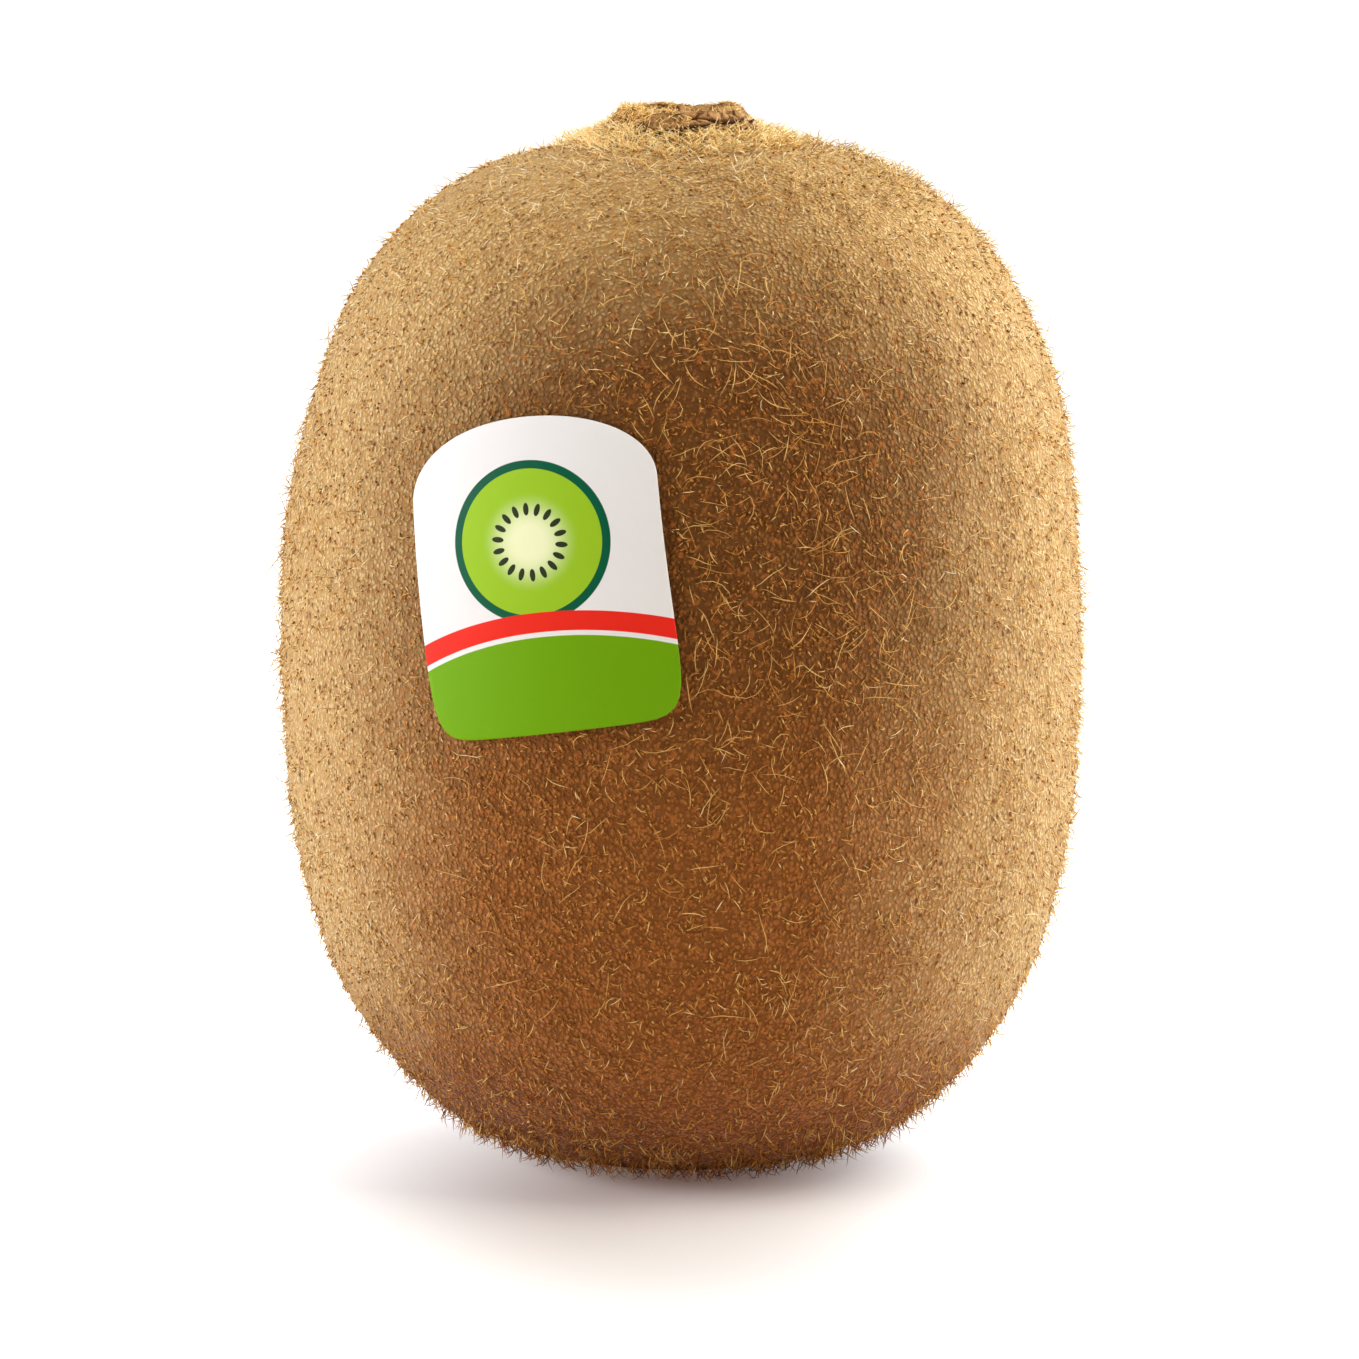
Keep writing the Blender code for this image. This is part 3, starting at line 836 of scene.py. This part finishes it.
foot = grows * smooth_step(cell_radius, 20 * MM, 8 * MM) * (cell_height < 0)
planted = plant(FOOT_HAIRS, foot, (0.9, 1.9), (20, 65))
line = grow(*planted, headings(FOOT_HAIRS, 1.4), dice.uniform(0.1, 0.9, FOOT_HAIRS), 0.4, 3)
tone = dice.normal(0.26, 0.08, FOOT_HAIRS)
cover(["foot_hairs"], line, tone, dice.uniform(0.028, 0.040, FOOT_HAIRS) * MM)

# %% [markdown]
# ## The dry calyx
#
# The flower's five sepals have shrivelled to a crust on the stem button. Each is pointed and arched,
# creased against its neighbours, and finely wrinkled. The crust is one closed form of two skins, an
# upper and a lower one, that meet at its ragged edge.

# %% A closed form from an upper and a lower skin
EDGE_WALL = 0.02 * MM


def ring_points(turn, radius):
    """Points at height 0 and at a radius from the axis."""
    return np.stack([radius * np.sin(turn), -radius * np.cos(turn), 0 * radius], axis=-1)


def raised(flat, top, base):
    """The points of flat twice, at the heights top and base."""
    upper, lower = flat.copy(), flat.copy()
    upper[..., 2], lower[..., 2] = top, base
    return upper, lower


def two_skins(name, columns, rows, shape):
    """shape(turn, share) gives upper and lower points. The grid runs out from the top's middle, down
    a wall of at least EDGE_WALL at share 1, and back under. Its map is two discs side by side."""
    turn = np.linspace(0, 2 * math.pi, columns + 1)
    turns, share = np.meshgrid(turn, np.sin(np.linspace(0, math.pi / 2, rows)))
    upper, lower = shape(turns, share)
    lower[..., 2] -= EDGE_WALL
    grid = np.concatenate([upper, lower[::-1]])[:, :columns]
    disc = 0.24 * share[..., None] * np.stack([np.sin(turns), -np.cos(turns)], axis=-1)
    texture = np.concatenate([disc + [0.25, 0.5], disc[::-1] + [0.75, 0.5]])
    return closed_grid(name, grid, texture, ["OFBake"])


# %% Calyx
SEPALS, SEPAL_REACH, NOTCH_REACH = 5, 4.6 * MM, 3.8 * MM
SEPAL_THICK, SEPAL_CURL, CALYX_FLOOR, SCAR_RADIUS = 0.62 * MM, 0.10 * MM, 0.28 * MM, 1.25 * MM


def calyx_shape(turn, share):
    """Arched lobes: the reach swells by 1 - |aside|^2.2 across each sepal, and the top rises with it.

    Wrinkles are noise of 0.5 and 1.1 mm, and a pit in the middle leaves room for the scar.
    """
    place = SEPALS * ((turn + math.pi) % (2 * math.pi)) / (2 * math.pi) + 0.2
    number = np.floor(place) % SEPALS
    aside = np.abs(2.0 * (place - np.floor(place)) - 1.0)
    lobe = 1.0 - aside**2.2
    ragged = 0.14 * np.sin(13 * turn + 1.0) + 0.08 * np.sin(21 * turn) + 0.04 * np.sin(47 * turn)
    reach = NOTCH_REACH + (SEPAL_REACH - NOTCH_REACH) * lobe * (1.0 - 0.35 * (number % 2)) + ragged * MM
    radius = share * reach
    flat = ring_points(turn, radius)
    curl = SEPAL_CURL * smooth_step(share, 0.6, 1.0) * lobe * (number % 3)
    seat = POLE + stem_button(turn, radius) + 0.12 * MM + curl
    arch = (SEPAL_THICK + 0.15 * MM) * (0.60 + 0.40 * lobe) * smooth_step(share, 1.02, 0.86)
    folds = 0.10 * MM * np.sin(11 * turn + 2.0) * np.sin(8.0 * share + 2.0 * number)
    folds += 0.09 * MM * drift(flat, 1.1 * MM, 41) + 0.04 * MM * drift(flat, 0.5 * MM, 42)
    pit = smooth_step(radius, 1.5 * SCAR_RADIUS + GAP, SCAR_RADIUS + GAP)
    inside = smooth_step(share, 1.0, 0.92)
    least = CALYX_FLOOR * inside
    thick = least + (1.0 - pit) * np.maximum(arch + folds * inside - least, 0.0)
    return raised(flat, seat + thick, seat)


calyx = two_skins("dry_calyx_crust", 240, 44, calyx_shape)

# %% [markdown]
# Dry sepals are grey-brown and papery. Their creases are darkened with painted shade: the creases of
# the mesh can't colour themselves, so the dark lines come from the same kind of wrinkled noise that
# makes the bump. The folds that lie on the crust carry a map whose u goes round them, and they get
# painted shade towards their lower edge at u = 0.5.

# %% Calyx material
calyx_finish, tree, shader = new_finish("dry_sepal", 0.85, 0.1)
place = millimetres(tree)
wrinkles = noise(place, 1.1, 3.0, 1.5)
fine = noise(place, 4.5, 3.0)
# Painted shade in the creases: the low wrinkles are dark.
colour = blend(fade(wrinkles, 0.36, 0.62), rgb(0.100, 0.038, 0.012), rgb(0.44, 0.240, 0.095))
colour = blend(times(fade(fine, 0.5, 0.8), 0.5), colour, rgb(0.68, 0.46, 0.19))
from_edge = maths("ABSOLUTE", minus(map_place(tree, "round_place")[0], 0.5))
# Painted shade under the folds.
colour = blend(fade(from_edge, 0.24, 0.12), colour, rgb(0.060, 0.022, 0.007))
paint(shader, colour, plus(wrinkles, times(fine, 0.4)), 0.9, 0.15 * MM)
calyx.data.materials.append(calyx_finish)

# %% [markdown]
# The sepals' margins stand up from the crust as curled folds, with dark creases under them, and a few
# dry threads stick out of it. Each is a strap: an oval section swept along a path and pinched shut at
# both ends.

# %% Straps
def strap(name, path, width, thickness, lie, sides=10):
    """Sweeps an oval along a path. lie is the way of the oval's width, made square to the path."""
    way = unit(np.gradient(path, axis=0))
    side = unit(lie - (lie * way).sum(axis=1, keepdims=True) * way)
    turn = np.linspace(0, 2 * math.pi, sides, endpoint=False)
    across = np.cos(turn)[None, :, None] * side[:, None] * (width / 2)[:, None, None]
    through = np.sin(turn)[None, :, None] * np.cross(side, way)[:, None] * (thickness / 2)[:, None, None]
    map_u, map_v = np.meshgrid(np.linspace(0, 1, sides + 1), np.linspace(1, 0, len(path)))
    rings = path[:, None] + across + through
    return closed_grid(name, rings, np.stack([map_u, map_v], axis=-1), ["round_place", "OFBake"])


# %% Sepal folds and dry threads
# Each fold has the turns where it starts and ends, in degrees, and a radius and a lift in millimetres.
FOLDS = [
    (-10, 80, 3.9, 0.62), (-45, 26, 4.2, 0.22), (34, 100, 4.3, 0.20),
    (110, 190, 4.0, 0.50), (200, 285, 4.0, 0.50),
]
crust_pieces = []
for number, (start, end, radius, lift) in enumerate(FOLDS):
    share = np.linspace(0, 1, 28)
    turn = np.radians(start + (end - start) * share)
    reach = (radius + 0.22 * np.sin(math.pi * share) + 0.10 * np.sin(9 * share + number)) * MM
    path = ring_points(turn, reach)
    path[:, 2] = POLE + stem_button(turn, reach) + (lift + 0.12 * np.sin(7 * share + 2 * number)) * MM
    taper = np.sqrt(np.clip(np.sin(math.pi * share), 0.0, 1.0))
    tilt = np.radians(60 + 22 * np.sin(6 * share + number))
    lie = np.stack([-np.sin(turn) * np.cos(tilt), np.cos(turn) * np.cos(tilt), np.sin(tilt)], axis=-1)
    fold = strap(f"sepal_fold_{number + 1}", path, 0.80 * MM * taper, 0.30 * MM * taper, lie)
    fold.data.materials.append(calyx_finish)
    crust_pieces.append(fold)

# Each thread has knots as (x, y, height over CRUST_TOP) and a thickness, all in millimetres.
CRUST_TOP = POLE + BUTTON_HEIGHT + 0.95 * MM
CURLED = [
    (-2.1, -2.6, -0.15), (-1.7, -2.7, 0.10), (-1.25, -2.75, 0.30),
    (-0.95, -2.75, 0.34), (-0.8, -2.6, 0.15), (-0.8, -2.4, -0.35),
]
UPRIGHT = [(-0.15, -2.5, -0.35), (-0.22, -2.6, -0.05), (-0.30, -2.65, 0.20), (-0.34, -2.7, 0.34)]
LEANING = [(3.4, -1.7, -1.20), (3.9, -1.8, -0.95), (4.3, -1.8, -0.80), (4.5, -1.8, -0.60)]
THREADS = [(CURLED, 0.17), (UPRIGHT, 0.24), (LEANING, 0.24)]
THREAD_POINTS, THREAD_LIE = 16, [0.1, -1.0, 0.2]
thread_colours = rgb(0.10, 0.035, 0.012), rgb(0.40, 0.20, 0.075)
thread_finish = dry_finish("dry_thread", 0.7, (2.2, 2.0), (0.40, 0.62), *thread_colours, False, 0.2)
share = np.linspace(0, 1, THREAD_POINTS)
for number, (knots, thick) in enumerate(THREADS):
    along = np.linspace(0, 1, len(knots))
    path = np.stack([np.interp(share, along, axis) for axis in zip(*knots)], axis=-1) * MM
    path[1:-1] = (path[:-2] + 2 * path[1:-1] + path[2:]) / 4
    path[:, 2] += CRUST_TOP
    girth = thick * MM * np.sqrt(np.clip(np.sin(math.pi * np.clip(share, 0.04, 0.97)), 0.0, 1.0))
    lie = np.tile(THREAD_LIE, (THREAD_POINTS, 1))
    thread = strap(f"dry_thread_{number + 1}", path, girth, girth, lie, 7)
    thread.data.materials.append(thread_finish)
    crust_pieces.append(thread)

# %% [markdown]
# Fuzz creeps up over the left part of the crust and thinly over the rest. Its roots are points of the
# crust's own upper skin, with normals from small steps round and out.

# %% Fuzz on the crust
CRUST_HAIRS, LEFT_SHARE, LEFT_TURN, LEFT_SPREAD = 1500, 0.62, -1.25, 0.62
on_left = dice.uniform(size=CRUST_HAIRS) < LEFT_SHARE
left_turn = dice.normal(LEFT_TURN, LEFT_SPREAD, CRUST_HAIRS)
crust_turn = np.where(on_left, left_turn, dice.uniform(-math.pi, math.pi, CRUST_HAIRS))
crust_share = np.sqrt(dice.uniform(0.36, 0.97, CRUST_HAIRS))
step = 1e-3
root = calyx_shape(crust_turn, crust_share)[0]
round_it = calyx_shape(crust_turn + step, crust_share)[0] - root
outwards = calyx_shape(crust_turn, crust_share + step)[0] - root
normal = unit(np.cross(outwards, round_it))
length = dice.uniform(0.35, 0.80, CRUST_HAIRS) * MM
lean = np.radians(dice.uniform(50, 86, CRUST_HAIRS))
heading, bend = headings(CRUST_HAIRS, 1.3), dice.uniform(0, 0.9, CRUST_HAIRS)
line = sprout(root - 0.05 * MM * normal, normal, length, lean, heading, bend, 0.3, 3)
tone = dice.normal(0.50, 0.18, CRUST_HAIRS)
girth = dice.uniform(0.024, 0.036, CRUST_HAIRS)[:, None] * MM * np.array([1.0, 0.75])
crust_fuzz = tubes("crust_fuzz", line, girth, tone, golden_finish)

# %% [markdown]
# ## The stalk scar
#
# Where the stalk broke off there is a round woody plug with a raised rim and a pitted middle.

# %% Stalk scar
def scar_shape(turn, share):
    """A disc: a rim at three quarters of its radius, a lower middle, and a slightly wavy outline."""
    radius = SCAR_RADIUS * share * (1.0 + 0.06 * np.cos(3 * turn))
    flat = ring_points(turn, radius)
    seat = POLE + BUTTON_HEIGHT - DISH_DEPTH + 2 * GAP + CALYX_FLOOR
    rim = 0.45 * MM * (0.55 + 0.45 * smooth_step(share, 0.25, 0.75)) * smooth_step(share, 1.0, 0.86)
    rough = 0.05 * MM * drift(flat, 0.6 * MM, 51) * smooth_step(share, 1.0, 0.8)
    return raised(flat, seat + rim + rough, seat - 0.2 * MM * smooth_step(share, 1.0, 0.8))


scar = two_skins("stalk_scar_wood", 72, 18, scar_shape)
scar_colours = rgb(0.14, 0.08, 0.04), rgb(0.46, 0.33, 0.19)
scar_finish = dry_finish("scar_wood", 0.85, (2.4, 4.0, 0.4), (0.38, 0.62), *scar_colours)
scar.data.materials.append(scar_finish)

# %% [markdown]
# ## The dry styles
#
# At the blossom end the flower's styles dried up into a dark rosette, like the spokes of a wheel.

# %% Dry styles
STYLES, STYLE_REACH, STYLE_HUB = 14, 2.4 * MM, 0.7 * MM


def styles_shape(turn, share):
    """Spokes under the hollow's roof: reach and thickness follow half of 1 + cos(14 turn)."""
    spoke = 0.5 + 0.5 * np.cos(STYLES * turn)
    radius = STYLE_REACH * share * (0.78 + 0.22 * spoke)
    roof = hollow(radius) - 0.1 * MM
    hang = 0.30 * MM + 0.32 * MM * spoke * smooth_step(share, 1.0, 0.5)
    hang = hang + 0.25 * MM * smooth_step(radius, 1.6 * STYLE_HUB, 0.6 * STYLE_HUB)
    flat = ring_points(turn, radius)
    hang = (hang + 0.04 * MM * drift(flat, 0.4 * MM, 61)) * smooth_step(share, 1.0, 0.9)
    return raised(flat, roof, np.maximum(roof - hang, np.minimum(roof, 0.2 * MM)))


styles = two_skins("dry_styles_rosette", 210, 22, styles_shape)
style_colours = rgb(0.045, 0.022, 0.010), rgb(0.20, 0.115, 0.052)
style_finish = dry_finish("dry_style", 0.8, (2.6, 3.0, 0.8), (0.36, 0.64), *style_colours)
styles.data.materials.append(style_finish)

# %% [markdown]
# ## The paper label
#
# A produce label is thin printed film with a satin gloss. It is two skins as well, 0.12 mm apart, on
# the flattened fuzz. The print is drawn by nodes from the label's own map, which gives the place on
# the label in millimetres, so its edges stay sharp at any distance.

# %% Label
LABEL_OFF, LABEL_THICK = 0.34 * MM, 0.12 * MM
PRINT_SPAN = 44.0
PRINT_MIDDLE, BACK_MIDDLE = [0.25, 0.5], [0.75, 0.5]


def label_shape(turn, share):
    """Rings of the outline shrunk to share, laid on the skin. The film thins at its rounded edge."""
    edge_right, edge_up = label_edge(turn)
    right, up = share * edge_right, SHOULDER + share * (edge_up - SHOULDER)
    half = LABEL_THICK / 2 * np.sqrt(np.clip(1.0 - share**40, 0.05, 1.0))
    middle = LABEL_OFF + LABEL_THICK / 2
    return on_skin(right, up, middle + half), on_skin(right, up, middle - half)


label_turns = np.linspace(0, 2 * math.pi, 161)
label_shares = np.concatenate([np.linspace(0, 0.97, 24), [0.985, 0.994, 1.0]])
turns, shares = np.meshgrid(label_turns, label_shares)
upper, lower = label_shape(turns, shares)
edge_right, edge_up = label_edge(turns)
print_up = SHOULDER + shares * (edge_up - SHOULDER)
print_map = np.stack([shares * edge_right, print_up], axis=-1) / MM / PRINT_SPAN
front_map, back_map = print_map + PRINT_MIDDLE, print_map + BACK_MIDDLE
label_grid = np.concatenate([upper, lower[::-1]])[:, :-1]
label_map = np.concatenate([front_map, back_map[::-1]])
label = closed_grid("produce_label_film", label_grid, label_map, ["print_place", "OFBake"])

# %% [markdown]
# The print is generic: a green hill below a white field, with a cut kiwi fruit rising behind it. Each
# shape is a distance compared with a size. Seeds are a ring of ovals, drawn once in a slice of the
# circle and repeated by taking the angle's remainder. The back of the film stays white.

# %% Label print
label_finish, tree, shader = new_finish("label_paper", 0.5, 0.1)
print_x, print_y = map_place(tree, "print_place")
across = times(minus(print_x, PRINT_MIDDLE[0]), PRINT_SPAN)
upward = times(minus(print_y, PRINT_MIDDLE[1]), PRINT_SPAN)


def length_of(x, y):
    """The square root of x * x + y * y."""
    return maths("SQRT", plus(times(x, x), times(y, y)))


def distance_to(centre_x, centre_y):
    """Millimetres from a point of the print, and that distance's parts across and up."""
    x, y = minus(across, centre_x), minus(upward, centre_y)
    return length_of(x, y), x, y


def inked(distance, size):
    """1 inside size, 0 outside, with a soft edge."""
    return fade(distance, size + INK_EDGE, size)


WHITE_INK, GREEN_INK = rgb(0.705, 0.70, 0.72), rgb(0.132, 0.320, 0.0)
DARK_GREEN_INK, RED_INK = rgb(0.0, 0.085, 0.040), rgb(0.70, 0.02, 0.01)
FLESH_INK, CORE_INK, SEED_INK = rgb(0.27, 0.47, 0.015), rgb(0.74, 0.78, 0.50), rgb(0.02, 0.03, 0.01)
INK_EDGE, PRINT_REACH = 0.04, 10.0
SLICE_UP, SLICE_RADIUS, FLESH_RADIUS = 2.1, 4.9, 4.4
SEEDS, SEED_RING, SEED_SIZE, SEED_SLIM = 18, 2.0, 0.36, 2.2
HILL_DOWN, RED_RIM, WHITE_RIM, HILL_RADIUS = -25.6, 23.4, 22.2, 21.9

slice_far, slice_x, slice_y = distance_to(0.0, SLICE_UP)
slice_angle = maths("ARCTAN2", slice_y, slice_x)
seed_turn = minus(maths("FLOORED_MODULO", slice_angle, 2 * math.pi / SEEDS), math.pi / SEEDS)
seed_aside = times(times(seed_turn, slice_far), SEED_SLIM)
seed_far = length_of(seed_aside, minus(slice_far, SEED_RING))
hill_far = distance_to(0.0, HILL_DOWN)[0]

colour = blend(inked(slice_far, SLICE_RADIUS), WHITE_INK, DARK_GREEN_INK)
colour = blend(inked(slice_far, FLESH_RADIUS), colour, FLESH_INK)
colour = blend(fade(slice_far, 3.1, 0.8), colour, CORE_INK)
colour = blend(inked(seed_far, SEED_SIZE), colour, SEED_INK)
colour = blend(inked(hill_far, RED_RIM), colour, RED_INK)
colour = blend(inked(hill_far, WHITE_RIM), colour, WHITE_INK)
colour = blend(inked(hill_far, HILL_RADIUS), colour, GREEN_INK)
colour = blend(fade(across, PRINT_REACH + 0.2, PRINT_REACH), WHITE_INK, colour)
paint(shader, colour, noise(millimetres(tree), 0.9, 2.0), 0.25)
label.data.materials.append(label_finish)

# %% [markdown]
# ## Tie every piece to the frame
#
# Each new piece stands for the solid that it refines, which is hidden, and is tied to the fruit's
# root.

# %% Ride and replace
owners = [(piece, "fruit_body", "kiwi_skin") for piece in [fruit] + pieces]
owners += [(piece, "dry_calyx", "dry_sepal") for piece in [calyx] + crust_pieces + [crust_fuzz]]
owners += [(scar, "stalk_scar", "scar_wood"), (styles, "dry_styles", "dry_style")]
owners += [(label, "produce_label", "label_paper")]
for piece, solid, slot_name in owners:
    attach(piece, "root")
    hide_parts(solid)
added = sum(len(piece.data.polygons) for piece, solid, slot_name in owners)
print(f"triangles added: {added}")

# %% [markdown]
# ## The studio
#
# The fruit stands on a white sweep between two large softboxes, one each side and a little in front,
# with a third above and a small fourth behind the right shoulder. The side lights graze the front,
# so the skin there stays dark and every hair on it catches the light. The camera sees the floor glow
# as a lit sweep does. In an oval round the fruit, longer towards the front, the glow fades to a warm
# dark brown: a painted contact shadow, laid under the shadow that the lights cast.

# %% Floor
FLOOR_HALF = 12.0
SHADOW_BACK, SHADOW_SQUASH = 11 * MM, 0.50
SHADOW_CORE, SHADOW_END = 4 * MM, 34 * MM
floor_mesh = bpy.data.meshes.new("studio_floor")
corners = [(x * FLOOR_HALF, y * FLOOR_HALF, 0) for x, y in ((-1, -1), (1, -1), (1, 1), (-1, 1))]
floor_mesh.from_pydata(corners, [], [(0, 1, 2, 3)])
floor = add_object("studio_floor", floor_mesh)
floor_finish, tree, shader = new_finish("studio_floor", 0.9)
tree.nodes.remove(shader)
dim = node(tree, "ShaderNodeBsdfDiffuse", {"Color": rgb(0.86, 0.76, 0.69)})
bright = node(tree, "ShaderNodeBsdfDiffuse", {"Color": rgb(0.535, 0.53, 0.54)})
place = tree.nodes.new("ShaderNodeTexCoord").outputs["Object"]
stretch = {"Vector": place, "Location": (0.0, SHADOW_BACK, 0.0), "Scale": (1.0, SHADOW_SQUASH, 1.0)}
oval = node(tree, "ShaderNodeMapping", stretch).outputs["Vector"]
far = node(tree, "ShaderNodeVectorMath", {0: oval}, operation="LENGTH").outputs["Value"]
# Painted contact shadow: the glow fades from white to a warm dark brown towards the fruit.
glow_and_painted_shadow = blend(fade(far, SHADOW_CORE, SHADOW_END), rgb(0.092, 0.044, 0.030), rgb(1.0, 1.0, 1.0))
glow = node(tree, "ShaderNodeEmission", {"Color": glow_and_painted_shadow, "Strength": 1.0})
seen = node(tree, "ShaderNodeAddShader", {0: bright.outputs[0], 1: glow.outputs[0]})
camera_ray = tree.nodes.new("ShaderNodeLightPath").outputs["Is Camera Ray"]
either = node(tree, "ShaderNodeMixShader", {0: camera_ray, 1: dim.outputs[0], 2: seen.outputs[0]})
tree.links.new(either.outputs[0], tree.nodes["Material Output"].inputs["Surface"])
floor.data.materials.append(floor_finish)
floor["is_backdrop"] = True


# %% Lights
def softbox(name, place, aim, size, watts, colour=(1.0, 1.0, 1.0)):
    """A rectangular area light at place, turned to aim, size metres wide and high."""
    lamp = add_object(name, bpy.data.lights.new(name, "AREA"))
    lamp.data.shape = "RECTANGLE"
    lamp.data.size, lamp.data.size_y = size
    lamp.data.energy, lamp.data.color = watts, colour
    lamp.location = place
    lamp.rotation_euler = (Vector(aim) - Vector(place)).to_track_quat("-Z", "Y").to_euler()


heart = (0.0, 0.0, 0.036)
softbox("softbox_left", (-0.44, -0.06, 0.11), heart, (0.36, 0.36), 3.75)
softbox("softbox_right", (0.44, -0.04, 0.19), heart, (0.42, 0.40), 2.3)
softbox("softbox_top", (0.22, -0.05, 0.43), heart, (0.35, 0.35), 1.95, (1.0, 0.95, 0.78))
softbox("softbox_rim", (0.34, 0.30, 0.32), heart, (0.30, 0.30), 1.9, (0.82, 0.94, 1.0))

world = bpy.data.worlds.new("studio_air")
world.use_nodes = True
air = world.node_tree.nodes["Background"]
air.inputs["Color"].default_value = rgb(1.0, 1.0, 1.0)
air.inputs["Strength"].default_value = 0.07
bpy.context.scene.world = world
bpy.context.scene.view_settings.view_transform = "Standard"

# %% [markdown]
# ## The camera
#
# The picture shows the top of the shoulders and none of the base's underside, so the camera looks
# down by eight and a half degrees, from far away with a long lens.

# %% Camera
CAMERA_BACK, CAMERA_RISE = 0.60, math.radians(8.5)
FIELD_WIDE = 86.3 * MM
aim = Vector((-0.2 * MM, 0.0, 30.6 * MM))
camera = add_object("camera", bpy.data.cameras.new("camera"))
camera.data.lens = camera.data.sensor_width * CAMERA_BACK / FIELD_WIDE
camera.data.clip_start = 0.01
away = Vector((0.0, -math.cos(CAMERA_RISE), math.sin(CAMERA_RISE)))
camera.location = aim + away * CAMERA_BACK
camera.rotation_euler = (-away).to_track_quat("-Z", "Y").to_euler()
bpy.context.scene.camera = camera

# %% Write the sizes and finish
dressed_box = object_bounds()
for title, box in (("solids", cad_box), ("dressed", dressed_box)):
    print(title, [round((box[1][i] - box[0][i]) / MM, 2) for i in range(3)], "mm")
